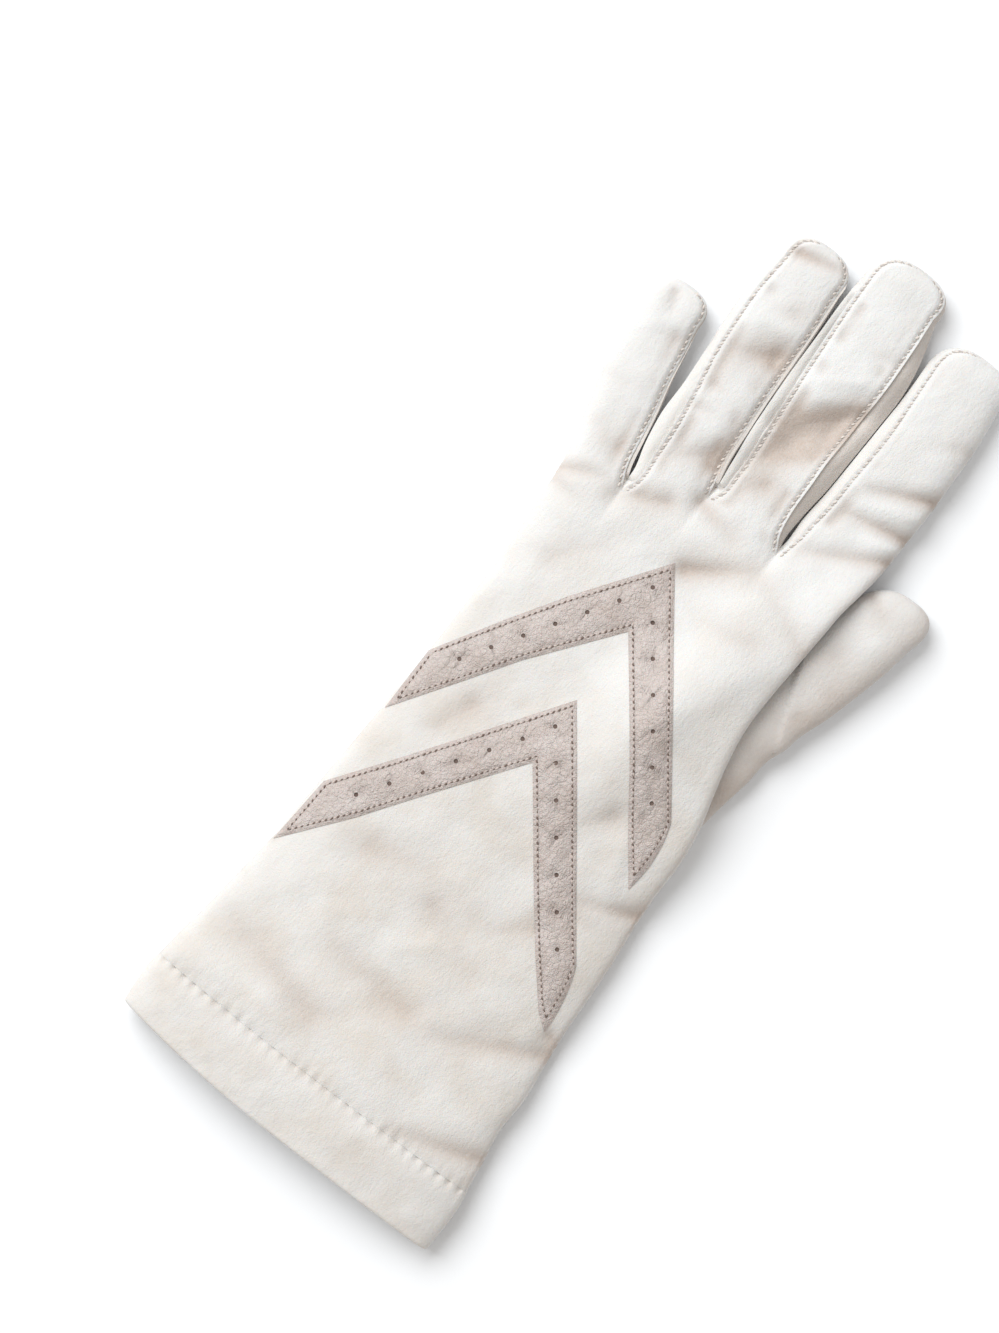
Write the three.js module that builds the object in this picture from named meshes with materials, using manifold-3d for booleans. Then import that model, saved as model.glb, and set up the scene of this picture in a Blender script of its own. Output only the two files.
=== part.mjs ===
import * as THREE from "three";
import { mergeVertices } from "three/addons/utils/BufferGeometryUtils.js";
import Module from "manifold-3d";

// A driving glove for the left hand, lying palm down with its thumb tucked under.
// Sizes are in millimetres. +Y runs to the fingertips, +X to the thumb side and +Z
// out of the back of the hand. The palm rests on z = 0. All tables measure y from the
// middle of the palm, and the finished glove is moved so that its origin lies under the
// heel of the palm, where it rests flat.
const restY = -40.0;
const clothWall = 1.1;
const hemWall = 2.2;
const leatherThickness = 1.2;
const seamGap = 0.3;
const holeRadius = 0.7;
const holeSides = 6;
const hemEdgeY = -121.8;
const hemStitchY = -103.3;
const thumbHeight = 10.0;

// A section is flat below and arched above. Its edge line lies at this share of its height.
const edgeShare = 0.42;
const archPower = 2.7;
const tipPower = 2.6;
// The underside is lowered by this much before it is cut off flat, so that it rests widely.
const flatSink = 1.4;
const tipShares = [0.4, 0.72, 0.92, 0.995];
// The last section at a tip keeps this size, and points crowd towards the edges by this share.
const leastHalfWidth = 0.4;
const leastRise = 0.15;
const crowding = 0.58;
const palmSteps = { top: 16, bottom: 8 };
const fingerSteps = { top: 8, bottom: 6 };
const thumbSteps = { top: 10, bottom: 6 };

// Heights and lengths past the parts that they cut, so that a cut goes right through.
const cutBelow = -6;
const cutAbove = 45;
const cutPast = 6;
const weldDistance = 1e-4;

// Each table starts with its column names and has one row for each section or fold.
function table(columns, rows) {
  const names = columns.split(" ");
  return rows.map((row) => Object.fromEntries(names.map((name, column) => [name, row[column]])));
}

const hemRows = table("y left right high", [
  [hemEdgeY, -50.0, 54.2, 12.5],
  [-112.0, -50.5, 54.4, 13.2],
  [hemStitchY - seamGap / 2, -50.2, 53.8, 12.1],
]);

const palmRows = table("y left right high", [
  [hemStitchY + seamGap / 2, -50.0, 53.6, 12.3],
  [-95.0, -49.1, 52.4, 12.5],
  [-85.0, -47.7, 50.9, 11.8],
  [-75.0, -46.5, 51.3, 11.1],
  [-64.0, -45.1, 50.0, 10.7],
  [-54.0, -44.2, 49.1, 11.0],
  [-43.0, -43.7, 48.7, 11.4],
  [-32.0, -43.1, 48.1, 11.4],
  [-21.0, -42.5, 47.0, 11.6],
  [-10.0, -42.0, 46.4, 11.8],
  [0.0, -41.4, 46.4, 11.9],
  [10.0, -41.1, 45.2, 12.2],
  [20.0, -41.0, 42.5, 12.4],
  [30.0, -41.0, 40.0, 12.4],
  [40.0, -41.0, 38.6, 12.3],
  [50.0, -41.8, 38.7, 12.1],
  [60.0, -42.5, 39.3, 11.5],
]);

// The root rows lie inside the palm. Beyond the crotch the edges stay clear of the next finger.
const fingers = {
  little: {
    tip: { x: -43.6, y: 125.0 },
    rows: table("y left right high", [
      [50, -40.0, -19.0, 8.1],
      [62, -42.3, -21.4, 10.4],
      [70, -43.6, -24.8, 10.6],
      [76, -45.0, -27.2, 10.1],
      [84, -47.0, -29.4, 9.5],
      [92, -49.2, -30.9, 9.9],
      [101, -50.9, -32.6, 9.9],
      [110, -52.0, -34.1, 9.5],
      [117, -52.3, -35.3, 9.3],
    ]),
  },
  ring: {
    tip: { x: -20.2, y: 155.4 },
    rows: table("y left right high", [
      [50, -29.0, -1.5, 8.4],
      [62, -28.6, -2.0, 11.5],
      [70, -27.0, -2.8, 11.6],
      [76, -26.5, -3.9, 11.1],
      [84, -28.1, -5.8, 10.5],
      [93, -29.4, -8.1, 10.4],
      [103, -29.9, -8.9, 10.5],
      [113, -30.5, -9.5, 10.6],
      [124, -31.4, -9.9, 10.4],
      [135, -31.8, -10.0, 10.6],
      [146, -30.8, -10.6, 9.9],
    ]),
  },
  middle: {
    tip: { x: 3.6, y: 165.4 },
    rows: table("y left right high", [
      [50, -13.0, 21.0, 8.6],
      [62, -12.6, 21.6, 11.9],
      [72, -11.0, 20.8, 12.0],
      [79, -9.2, 18.8, 11.3],
      [85, -6.5, 16.6, 10.8],
      [93, -6.6, 16.4, 10.5],
      [103, -7.5, 17.4, 10.6],
      [113, -8.1, 17.7, 10.5],
      [124, -8.4, 18.2, 10.7],
      [135, -8.8, 18.5, 11.1],
      [146, -9.3, 17.0, 10.6],
      [156, -8.9, 14.4, 9.9],
    ]),
  },
  index: {
    tip: { x: 31.2, y: 156.4 },
    rows: table("y left right high", [
      [50, 10.0, 37.6, 8.4],
      [62, 10.4, 39.3, 11.5],
      [72, 12.9, 40.0, 11.8],
      [79, 15.6, 40.5, 11.3],
      [85, 17.6, 41.5, 10.8],
      [93, 17.8, 42.7, 10.6],
      [103, 18.7, 43.2, 10.6],
      [113, 19.2, 43.6, 10.7],
      [124, 19.6, 43.4, 11.1],
      [136, 19.4, 43.1, 10.8],
      [147, 18.9, 41.8, 10.4],
    ]),
  },
};

const thumb = {
  tip: { x: 54.2, y: 93.6 },
  rows: table("y left right high", [
    [-20, 26.0, 36.0, 2.8],
    [-11, 19.0, 40.6, 4.8],
    [-1, 15.4, 43.6, 6.5],
    [9, 15.6, 44.8, 7.8],
    [19, 18.0, 46.2, 8.9],
    [28, 21.2, 47.8, 9.7],
    [37, 25.2, 49.2, thumbHeight],
    [46, 28.8, 51.6, thumbHeight],
    [55, 32.2, 54.8, thumbHeight],
    [64, 35.0, 57.3, thumbHeight],
    [73, 37.6, 59.6, thumbHeight],
    [82, 40.2, 61.2, 9.7],
  ]),
};

// Side strips between neighbouring fingers. The seams lie this far inside the two fingers'
// edges, and the strip starts in a point below the crotch.
const sideStrips = table("name from to fromSeam toSeam crotchX crotchY", [
  ["little_ring_fourchette", "little", "ring", 2.4, 4.0, -26.0, 69.5],
  ["ring_middle_fourchette", "ring", "middle", 2.4, 3.0, -6.4, 81.0],
  ["middle_index_fourchette", "middle", "index", 4.0, 2.6, 17.0, 80.0],
]);
const stripStart = 3.0;
const stripEnd = 3.0;
const stripPast = 0.7;

// Folds and dents of the back: a valley runs between two points, or a ridge if depth is negative.
const folds = table("x1 y1 x2 y2 depth spread", [
  [-2, 62, 15, 76, 1.2, 4.5],
  [-25, 69, -9, 78, 1.2, 4.0],
  [-9, 81, 11, 81, 1.0, 3.5],
  [-43, 66, -34, 70, 1.0, 3.5],
  [-27, -9, -23, 1, 1.0, 6.0],
  [20, -5, 25, 0, 1.0, 5.5],
  [40, -22, 46, -18, 0.9, 5.0],
  [-15, -73, 22, -74, 1.0, 5.5],
  [22, -74, 48, -63, 1.2, 5.0],
  [-40, -84, 4, -90, 0.9, 6.0],
  [30, -101, 52, -94, 1.1, 4.5],
  [-46, -99, -22, -95, -0.8, 5.0],
  [4, 48, 5, 22, -0.7, 5.0],
  [25, 112, 43, 116, 1.3, 5.0],
  [23, 87, 42, 97, 1.4, 5.5],
  [-3, 112, 12, 122, 1.4, 5.5],
  [3, 96, 7, 108, 1.1, 5.0],
  [-24, 122, -12, 123, 1.0, 4.5],
  [-27, 103, -16, 102, 1.0, 5.0],
  [-25, 86, -14, 89, 1.1, 4.5],
  [-50, 92, -36, 95, 1.0, 4.5],
  [-50, 111, -40, 109, 0.9, 4.5],
]);

const thumbFolds = table("x1 y1 x2 y2 depth spread", [
  [41, 60, 46, 46, 1.1, 2.6],
  [46, 46, 50, 37, 1.3, 2.6],
  [50, 60, 57, 58, 0.6, 4.0],
  [44, 24, 47, 14, 0.8, 3.5],
]);

// Leather chevrons across the back. A row gives the outer and inner edge of the strip at x.
const chevronColumns = "x outer inner";
const upperChevronRows = table(chevronColumns, [
  [-48, -4.5, -25.0],
  [-40, 8.0, -11.5],
  [-30, 24.0, 3.0],
  [-20, 39.5, 19.0],
  [-10, 53.5, 32.0],
  [-2.5, 63.2, 41.3],
  [5, 53.5, 33.0],
  [12, 44.0, 24.2],
  [20, 32.0, 13.0],
  [30, 19.0, -1.5],
  [40, 5.0, -14.0],
  [50, -8.5, -27.0],
]);
const lowerChevronRows = table(chevronColumns, [
  [-50, -50.0, -69.0],
  [-40, -35.5, -55.0],
  [-30, -22.0, -42.0],
  [-20, -8.0, -28.0],
  [-10, 7.0, -12.5],
  [-2, 18.5, -2.0],
  [5, 9.3, -10.0],
  [12, -0.7, -19.0],
  [20, -10.5, -30.0],
  [30, -23.8, -43.0],
  [40, -36.0, -54.0],
  [52, -48.5, -68.0],
]);
// Rows of holes: one at the apex, then a line down each leg from its first hole to its last.
const holesPerLeg = 6;
const holeLines = {
  upper: { apex: [-3.8, 54.5], left: [-8.8, 46.4, -33.3, 8.6], right: [1.8, 47.0, 30.2, 8.7] },
  lower: { apex: [-2.3, 9.6], left: [-7.2, 1.8, -33.5, -36.6], right: [3.6, 2.0, 33.7, -37.3] },
};
// The leather turns over the hand's edge and ends this far below the edge line.
const leatherTurn = 0.6;

const cloth = new THREE.MeshStandardMaterial({ color: 0xe4dfd9, roughness: 0.9, metalness: 0 });
const sideCloth = new THREE.MeshStandardMaterial({ color: 0xd6c9bb, roughness: 0.9, metalness: 0 });
const leather = new THREE.MeshStandardMaterial({ color: 0xc9c1ba, roughness: 0.6, metalness: 0 });

const wasm = await Module();
wasm.setup();

const smooth = (value, from, to) => THREE.MathUtils.smoothstep(value, from, to);

// The hand's thumb side rides up over the thumb that lies below it, and comes down again
// along the index finger. The ramp ends just inside the thumb's left edge, which is a
// slanted line.
const lift = {
  height: 10.5,
  ramp: 21,
  edgeX: 26,
  edgeY: 37,
  edgeSlope: 0.36,
  riseFrom: -26,
  riseTo: 42,
  fallFrom: 72,
  fallTo: 110,
};
function thumbLift(x, y) {
  const edge = lift.edgeX + (y - lift.edgeY) * lift.edgeSlope;
  const across = smooth(x, edge - lift.ramp, edge);
  const along = smooth(y, lift.riseFrom, lift.riseTo) * (1 - smooth(y, lift.fallFrom, lift.fallTo));
  return lift.height * across * along;
}

// The cuff's edge runs up towards the little finger side and a little down towards the thumb.
const slant = {
  leftRise: 4.3,
  leftPower: 1.6,
  rightDrop: 0.7,
  halfWidth: 50,
  startY: -80,
  reach: 42,
  power: 1.7,
};
function cuffSlant(x, y) {
  const share = Math.pow(THREE.MathUtils.clamp((slant.startY - y) / slant.reach, 0, 1), slant.power);
  const side = Math.abs(x) / slant.halfWidth;
  return share * (x < 0 ? slant.leftRise * Math.pow(side, slant.leftPower) : -slant.rightDrop * side);
}

function foldDepth(list, x, y) {
  let depth = 0;
  for (const fold of list) {
    const alongX = fold.x2 - fold.x1;
    const alongY = fold.y2 - fold.y1;
    const share = ((x - fold.x1) * alongX + (y - fold.y1) * alongY) / (alongX ** 2 + alongY ** 2);
    const near = THREE.MathUtils.clamp(share, 0, 1);
    const away = Math.hypot(x - fold.x1 - near * alongX, y - fold.y1 - near * alongY);
    depth += fold.depth * Math.exp(-((away / fold.spread) ** 2));
  }
  return depth;
}

function placeOnHand(x, y, z, backShare) {
  return [x, y + cuffSlant(x, y), z - backShare * foldDepth(folds, x, y) + thumbLift(x, y)];
}

function placeOnThumb(x, y, z, backShare) {
  return [x, y, z - backShare * foldDepth(thumbFolds, x, y)];
}

// Points of one section, over the back from the left edge and under the palm from the right.
function sectionRing(row, inset, steps, place) {
  const middle = (row.left + row.right) / 2;
  const half = Math.max((row.right - row.left) / 2 - inset, leastHalfWidth);
  const edge = row.edge ?? row.high * edgeShare;
  const low = (row.low ?? 0) + inset;
  const rise = Math.max(row.high - inset - edge, leastRise);
  const drop = Math.max(edge - low, leastRise);
  const spread = (share) => THREE.MathUtils.lerp(share, Math.sin((share * Math.PI) / 2), crowding);
  const arch = (u) => Math.pow(Math.max(1 - Math.pow(Math.abs(u), archPower), 0), 1 / archPower);
  const points = [];
  for (let step = 0; step < steps.top; step += 1) {
    const u = spread((2 * step) / steps.top - 1);
    points.push(place(middle + u * half, row.y, edge + rise * arch(u), arch(u)));
  }
  for (let step = 0; step < steps.bottom; step += 1) {
    const u = -spread((2 * step) / steps.bottom - 1);
    const z = Math.max(edge - (drop + flatSink) * arch(u), edge - drop);
    points.push(place(middle + u * half, row.y, z, 0));
  }
  return points;
}

// A closed solid through a stack of sections.
function loft(rows, inset, steps, place) {
  const rings = rows.map((row) => sectionRing(row, inset, steps, place));
  const count = steps.top + steps.bottom;
  const positions = rings.flat(2);
  const indices = [];
  for (let ring = 0; ring + 1 < rings.length; ring += 1) {
    for (let point = 0; point < count; point += 1) {
      const a = ring * count + point;
      const b = ring * count + ((point + 1) % count);
      indices.push(a, b, a + count, b, b + count, a + count);
    }
  }
  for (const last of [false, true]) {
    const ring = last ? rings[rings.length - 1] : rings[0];
    const first = last ? (rings.length - 1) * count : 0;
    const centre = positions.length / 3;
    for (const axis of [0, 1, 2]) {
      positions.push(ring.reduce((sum, point) => sum + point[axis], 0) / count);
    }
    for (let point = 0; point < count; point += 1) {
      const next = (point + 1) % count;
      const side = last ? [first + point, first + next] : [first + next, first + point];
      indices.push(centre, ...side);
    }
  }
  const geometry = new THREE.BufferGeometry();
  geometry.setAttribute("position", new THREE.Float32BufferAttribute(positions, 3));
  geometry.setIndex(indices);
  return toSolid(geometry);
}

function toSolid(geometry) {
  geometry.deleteAttribute("normal");
  geometry.deleteAttribute("uv");
  const merged = mergeVertices(geometry, weldDistance);
  const vertProperties = new Float32Array(merged.attributes.position.array);
  const triVerts = new Uint32Array(merged.index.array);
  return new wasm.Manifold(new wasm.Mesh({ numProp: 3, vertProperties, triVerts }));
}

function toMesh(name, solid, material) {
  const mesh = solid.getMesh();
  const geometry = new THREE.BufferGeometry();
  geometry.setAttribute("position", new THREE.BufferAttribute(mesh.vertProperties, 3));
  geometry.setIndex(new THREE.BufferAttribute(mesh.triVerts, 1));
  geometry.computeVertexNormals();
  const piece = new THREE.Mesh(geometry, material);
  piece.name = name;
  return piece;
}

// Rounds a stack of sections off to its tip.
function withTip(rows, tip, inset) {
  const last = rows[rows.length - 1];
  const edge = last.high * edgeShare;
  const tipRows = tipShares.map((share) => {
    const scale = Math.pow(1 - Math.pow(share, tipPower), 1 / tipPower);
    const half = ((last.right - last.left) / 2) * scale;
    const middle = THREE.MathUtils.lerp((last.left + last.right) / 2, tip.x, share);
    return {
      y: last.y + (tip.y - inset - last.y) * share,
      left: middle - half,
      right: middle + half,
      edge,
      high: edge + (last.high - edge) * scale,
      low: edge - edge * scale,
    };
  });
  return [...rows, ...tipRows];
}

// The root of a finger is set in from the palm's underside, so that the two cross cleanly.
const rootEndY = 66;
const rootSlope = 0.1;
function fingerSolid(finger, inset) {
  const rows = finger.rows.map((row) => ({ ...row, low: Math.max(0, (rootEndY - row.y) * rootSlope) }));
  return loft(withTip(rows, finger.tip, inset), inset, fingerSteps, placeOnHand);
}

const palmTip = { x: -1.8, y: 71.5 };
function handSolid(inset) {
  const rows = withTip(palmRows, palmTip, inset);
  if (inset > 0) {
    rows.unshift({ ...palmRows[0], y: palmRows[0].y - cutPast });
  }
  let solid = loft(rows, inset, palmSteps, placeOnHand);
  for (const finger of Object.values(fingers)) {
    solid = solid.add(fingerSolid(finger, inset));
  }
  return solid;
}

function thumbSolid(inset) {
  return loft(withTip(thumb.rows, thumb.tip, inset), inset, thumbSteps, placeOnThumb);
}

function prism(outline, low, high) {
  const shape = new THREE.Shape(outline.map(([x, y]) => new THREE.Vector2(x, y)));
  const geometry = new THREE.ExtrudeGeometry(shape, { depth: high - low, bevelEnabled: false });
  return geometry.translate(0, 0, low);
}

// The upright space between two fingers that cuts their side strip out of the cloth.
function stripSpace(strip, gap) {
  const from = fingers[strip.from];
  const to = fingers[strip.to];
  const free = (row) => row.y > strip.crotchY + stripStart;
  const fromRows = from.rows.filter(free);
  const toRows = to.rows.filter(free);
  const fromLast = fromRows[fromRows.length - 1];
  const toLast = toRows[toRows.length - 1];
  const outline = [
    [strip.crotchX, strip.crotchY - gap],
    ...toRows.map((row) => [row.left + strip.toSeam + gap, row.y]),
    [toLast.left - stripPast, toLast.y + stripEnd + gap],
    [fromLast.right + stripPast, fromLast.y + stripEnd + gap],
    ...fromRows.reverse().map((row) => [row.right - strip.fromSeam - gap, row.y]),
  ];
  return toSolid(prism(outline, cutBelow, cutAbove));
}

function chevronOutline(rows) {
  const outer = rows.map((row) => [row.x, row.outer]);
  const inner = rows.map((row) => [row.x, row.inner]).reverse();
  return [...inner, ...outer];
}

function holePlaces(lines) {
  const places = [lines.apex];
  for (const [x1, y1, x2, y2] of [lines.left, lines.right]) {
    for (let hole = 0; hole < holesPerLeg; hole += 1) {
      const share = hole / (holesPerLeg - 1);
      places.push([THREE.MathUtils.lerp(x1, x2, share), THREE.MathUtils.lerp(y1, y2, share)]);
    }
  }
  return places;
}

// A strip of leather follows the back at a small gap and is cut to its outline and holes.
function chevron(rows, lines, skin) {
  const outline = prism(chevronOutline(rows), 0, cutAbove);
  const points = outline.attributes.position;
  const turnHeight = palmRows[0].high * edgeShare - leatherTurn;
  for (let point = 0; point < points.count; point += 1) {
    if (points.getZ(point) === 0) {
      points.setZ(point, turnHeight + thumbLift(points.getX(point), points.getY(point)));
    }
  }
  let piece = toSolid(outline).intersect(skin);
  for (const [x, y] of holePlaces(lines)) {
    const hole = new THREE.CylinderGeometry(holeRadius, holeRadius, cutAbove, holeSides);
    piece = piece.subtract(toSolid(hole.rotateX(Math.PI / 2).translate(x, y, cutAbove / 2)));
  }
  return piece;
}

function makeHem() {
  const inner = [
    { ...hemRows[0], y: hemRows[0].y - cutPast },
    ...hemRows,
    { ...hemRows[hemRows.length - 1], y: hemStitchY + cutPast },
  ];
  const outside = loft(hemRows, 0, palmSteps, placeOnHand);
  return outside.subtract(loft(inner, hemWall, palmSteps, placeOnHand));
}

const hand = handSolid(0);
const handGrown = handSolid(-seamGap);
const handCloth = hand.subtract(handSolid(clothWall));
const thumbCloth = thumbSolid(0).subtract(thumbSolid(clothWall));
const leatherSkin = handSolid(-seamGap - leatherThickness).subtract(handGrown);

let shell = handCloth.subtract(thumbSolid(-seamGap));
for (const strip of sideStrips) {
  shell = shell.subtract(stripSpace(strip, seamGap / 2));
}

const glove = new THREE.Group();
glove.position.y = -restY;
glove.add(toMesh("hand_shell", shell, cloth));
for (const strip of sideStrips) {
  glove.add(toMesh(strip.name, handCloth.intersect(stripSpace(strip, -seamGap / 2)), sideCloth));
}
glove.add(toMesh("thumb", thumbCloth.subtract(handGrown), cloth));
glove.add(toMesh("cuff_hem", makeHem(), cloth));
glove.add(toMesh("upper_chevron", chevron(upperChevronRows, holeLines.upper, leatherSkin), leather));
glove.add(toMesh("lower_chevron", chevron(lowerChevronRows, holeLines.lower, leatherSkin), leather));

export default glove;
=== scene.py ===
# A driving glove for the left hand, lying palm down with its thumb tucked under: a cloth hand with
# side strips between its fingers, a thumb, a turned hem and two perforated leather chevrons.
# Tables are in millimetres, with y measured from the middle of the palm.
import math

import bmesh
import bpy
import numpy as np
from mathutils import Matrix, Vector


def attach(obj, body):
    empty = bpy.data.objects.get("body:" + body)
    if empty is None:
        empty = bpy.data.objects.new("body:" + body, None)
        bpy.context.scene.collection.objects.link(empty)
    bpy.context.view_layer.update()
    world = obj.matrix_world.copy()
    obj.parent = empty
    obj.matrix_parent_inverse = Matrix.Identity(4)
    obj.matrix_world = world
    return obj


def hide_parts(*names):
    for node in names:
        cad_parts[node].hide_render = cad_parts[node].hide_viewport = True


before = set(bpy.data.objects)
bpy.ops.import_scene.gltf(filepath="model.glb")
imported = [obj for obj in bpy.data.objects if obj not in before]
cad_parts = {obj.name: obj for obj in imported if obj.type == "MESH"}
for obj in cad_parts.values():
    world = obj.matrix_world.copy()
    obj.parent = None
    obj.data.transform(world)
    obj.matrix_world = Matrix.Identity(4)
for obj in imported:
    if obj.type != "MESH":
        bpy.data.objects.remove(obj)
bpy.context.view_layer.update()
print("glove: frame loaded")

millimetre = 0.001
restY = -40.0            # the frame's origin lies under the heel of the palm, at this y of the tables

# Camera, floor and light

view = {
    "acrossX": 0.7986, "acrossY": 0.6018,   # the picture's right in the glove's frame
    "middleX": -23.6, "middleY": 13.4,      # what the picture is centred on
    "frameLong": 354.6, "planeZ": 6.0,      # what the long side takes in, and at which height
    "distance": 1150.0,
    "lightTurn": 158.0, "lightRise": 47.0,  # degrees, from +X and above the floor
    "lightDistance": 2.4, "lightSize": 2.1, "lightPower": 60.0, "lightColour": (0.975, 0.99, 1.0),
    "fill": 0.54, "fillColour": (1.0, 0.965, 0.925, 1.0), "floorColour": (0.935, 0.955, 0.98, 1.0),
}


def makeView():
    across = Vector((view["acrossX"], view["acrossY"], 0))
    upward = Vector((-view["acrossY"], view["acrossX"], 0))
    middle = Vector((view["middleX"], view["middleY"] - restY, view["planeZ"])) * millimetre
    camera = bpy.data.objects.new("camera", bpy.data.cameras.new("camera"))
    bpy.context.collection.objects.link(camera)
    camera.data.lens = camera.data.sensor_width * view["distance"] / view["frameLong"]
    camera.data.clip_start = 0.05
    turn = Matrix((across, upward, Vector((0, 0, 1)))).transposed()
    place = middle + Vector((0, 0, view["distance"] * millimetre))
    camera.matrix_world = Matrix.Translation(place) @ turn.to_4x4()
    bpy.context.scene.camera = camera

    turnAngle = math.radians(view["lightTurn"])
    riseAngle = math.radians(view["lightRise"])
    level = Vector((math.cos(turnAngle), math.sin(turnAngle), 0)) * math.cos(riseAngle)
    towards = level + Vector((0, 0, math.sin(riseAngle)))
    lamp = bpy.data.objects.new("window", bpy.data.lights.new("window", "AREA"))
    bpy.context.collection.objects.link(lamp)
    lamp.data.shape = "DISK"
    lamp.data.size = view["lightSize"]
    lamp.data.energy = view["lightPower"]
    lamp.data.color = view["lightColour"]
    lamp.location = middle + towards * view["lightDistance"]
    lamp.rotation_euler = towards.to_track_quat("Z", "Y").to_euler()

    world = bpy.data.worlds.new("studio")
    world.use_nodes = True
    background = world.node_tree.nodes["Background"]
    background.inputs["Color"].default_value = view["fillColour"]
    background.inputs["Strength"].default_value = view["fill"]
    bpy.context.scene.world = world
    bpy.context.scene.view_settings.view_transform = "Standard"


makeView()

# Shader and geometry node trees


class Wire:
    # a socket in a node tree; an expression on it adds Math nodes
    def __init__(self, tree, socket=None):
        self.tree = tree
        self.socket = socket

    def node(self, kind, settings=None, sockets=None, output=0):
        made = self.tree.nodes.new(kind)
        for name, value in (settings or {}).items():
            setattr(made, name, value)
        for name, value in (sockets or {}).items():
            if isinstance(value, Wire):
                self.tree.links.new(value.socket, made.inputs[name])
            else:
                made.inputs[name].default_value = value
        return Wire(self.tree, made.outputs[output]) if len(made.outputs) else None

    def maths(self, operation, first, second):
        return self.node("ShaderNodeMath", {"operation": operation}, {0: first, 1: second})

    def __add__(self, other):
        return self.maths("ADD", self, other)

    def __radd__(self, other):
        return self.maths("ADD", other, self)

    def __sub__(self, other):
        return self.maths("SUBTRACT", self, other)

    def __rsub__(self, other):
        return self.maths("SUBTRACT", other, self)

    def __mul__(self, other):
        return self.maths("MULTIPLY", self, other)

    def __rmul__(self, other):
        return self.maths("MULTIPLY", other, self)

    def spread(self, low, high):
        # 0 at low and 1 at high, held between the two
        return self.node("ShaderNodeMapRange", {"clamp": True},
                         {"Value": self, "From Min": low, "From Max": high})

    def mixed(self, first, second):
        # two colours, mixed by this value
        return self.node("ShaderNodeMix", {"data_type": "RGBA"}, {0: self, 6: first, 7: second}, 2)


def noiseOn(wire, place, size, detail=2.0, roughness=0.5):
    # noise with features of about size millimetres
    return wire.node("ShaderNodeTexNoise", None,
                     {"Vector": place, "Scale": 1 / (size * millimetre), "Detail": detail,
                      "Roughness": roughness})


def surface(name, colour, roughness, bumps, constants):
    # colour and roughness take a wire and the place on the piece, and bumps is a list of
    # functions with their heights in millimetres
    material = bpy.data.materials.new(name)
    material.use_nodes = True
    tree = material.node_tree
    tree.nodes.clear()
    start = Wire(tree)
    place = start.node("ShaderNodeTexCoord", output=3)
    normal = None
    for relief, height in bumps:
        sockets = {"Height": relief(start, place), "Distance": height * millimetre, "Strength": 1.0}
        if normal is not None:
            sockets["Normal"] = normal
        normal = start.node("ShaderNodeBump", None, sockets)
    sockets = {"Base Color": colour(start, place), "Roughness": roughness(start, place), "Normal": normal}
    sockets.update(constants)
    shader = start.node("ShaderNodeBsdfPrincipled", None, sockets)
    start.node("ShaderNodeOutputMaterial", None, {"Surface": shader})
    return material


clothLook = {
    "ivory": (0.755, 0.755, 0.75, 1), "sides": (0.75, 0.735, 0.715, 1),
    # cream is a tone of the cloth; the last colour is painted shade, mixed in where folds, seams and sides
    # turned from the light would be shaded
    "cream": (0.68, 0.645, 0.605, 1), "paintedShade": (0.48, 0.39, 0.33, 1),
    "paintedShadeShare": 0.76, "sidesPaintedShadeShare": 0.5,      # how far the painted shade colour goes
    # the cream tone starts at the fingers' roots and is full from the palm's middle on, in metres
    "creamFrom": 0.125, "creamTo": 0.04,
    "creamAtCuff": 0.45, "mottleAtCuff": 0.4, "mottleAll": 0.2, "speckle": 0.5,
    "mottle": 13.0, "nap": 0.9,                        # sizes of the tone's patches, in millimetres
    "knit": 1.1, "knitHeight": 0.22, "knitStretch": 0.55, "fibre": 0.38, "fibreHeight": 0.14,
    "roughness": 0.78,
}


def clothMaterial(name, ivory, paintedShadeShare):
    def colour(start, place):
        towardsTips = start.node("ShaderNodeSeparateXYZ", None, {0: place}, 1)
        towardsCuff = towardsTips.spread(clothLook["creamFrom"], clothLook["creamTo"])
        mottle = noiseOn(start, place, clothLook["mottle"]).spread(0.42, 0.7)
        patches = mottle * (towardsCuff * clothLook["mottleAtCuff"] + clothLook["mottleAll"])
        base = (towardsCuff * clothLook["creamAtCuff"] + patches).mixed(ivory, clothLook["cream"])
        # the attribute read here carries painted shade for folds, seam grooves, puckers, dimples and sides
        # turned away from the light
        paintedShade = start.node("ShaderNodeAttribute", {"attribute_name": "paintedShade"}, output=2)
        speckle = noiseOn(start, place, clothLook["nap"], 3.0) * clothLook["speckle"]
        speckle = speckle + (1 - clothLook["speckle"] / 2)
        return (paintedShade * paintedShadeShare * speckle).mixed(base, clothLook["paintedShade"])

    def roughness(start, place):
        return noiseOn(start, place, clothLook["nap"]) * 0.12 + clothLook["roughness"]

    def knit(start, place):
        warped = start.node("ShaderNodeVectorMath", {"operation": "MULTIPLY"},
                            {0: place, 1: (1, clothLook["knitStretch"], 1)})
        return noiseOn(start, warped, clothLook["knit"], 3.0, 0.6)

    def fibre(start, place):
        return noiseOn(start, place, clothLook["fibre"], 2.0)

    constants = {"Sheen Weight": 0.06, "Sheen Roughness": 0.6, "Specular IOR Level": 0.15,
                 "Subsurface Weight": 0.15, "Subsurface Radius": (1.0, 0.62, 0.42),
                 "Subsurface Scale": 0.0012}
    bumps = [(knit, clothLook["knitHeight"]), (fibre, clothLook["fibreHeight"])]
    return surface(name, colour, roughness, bumps, constants)


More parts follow.
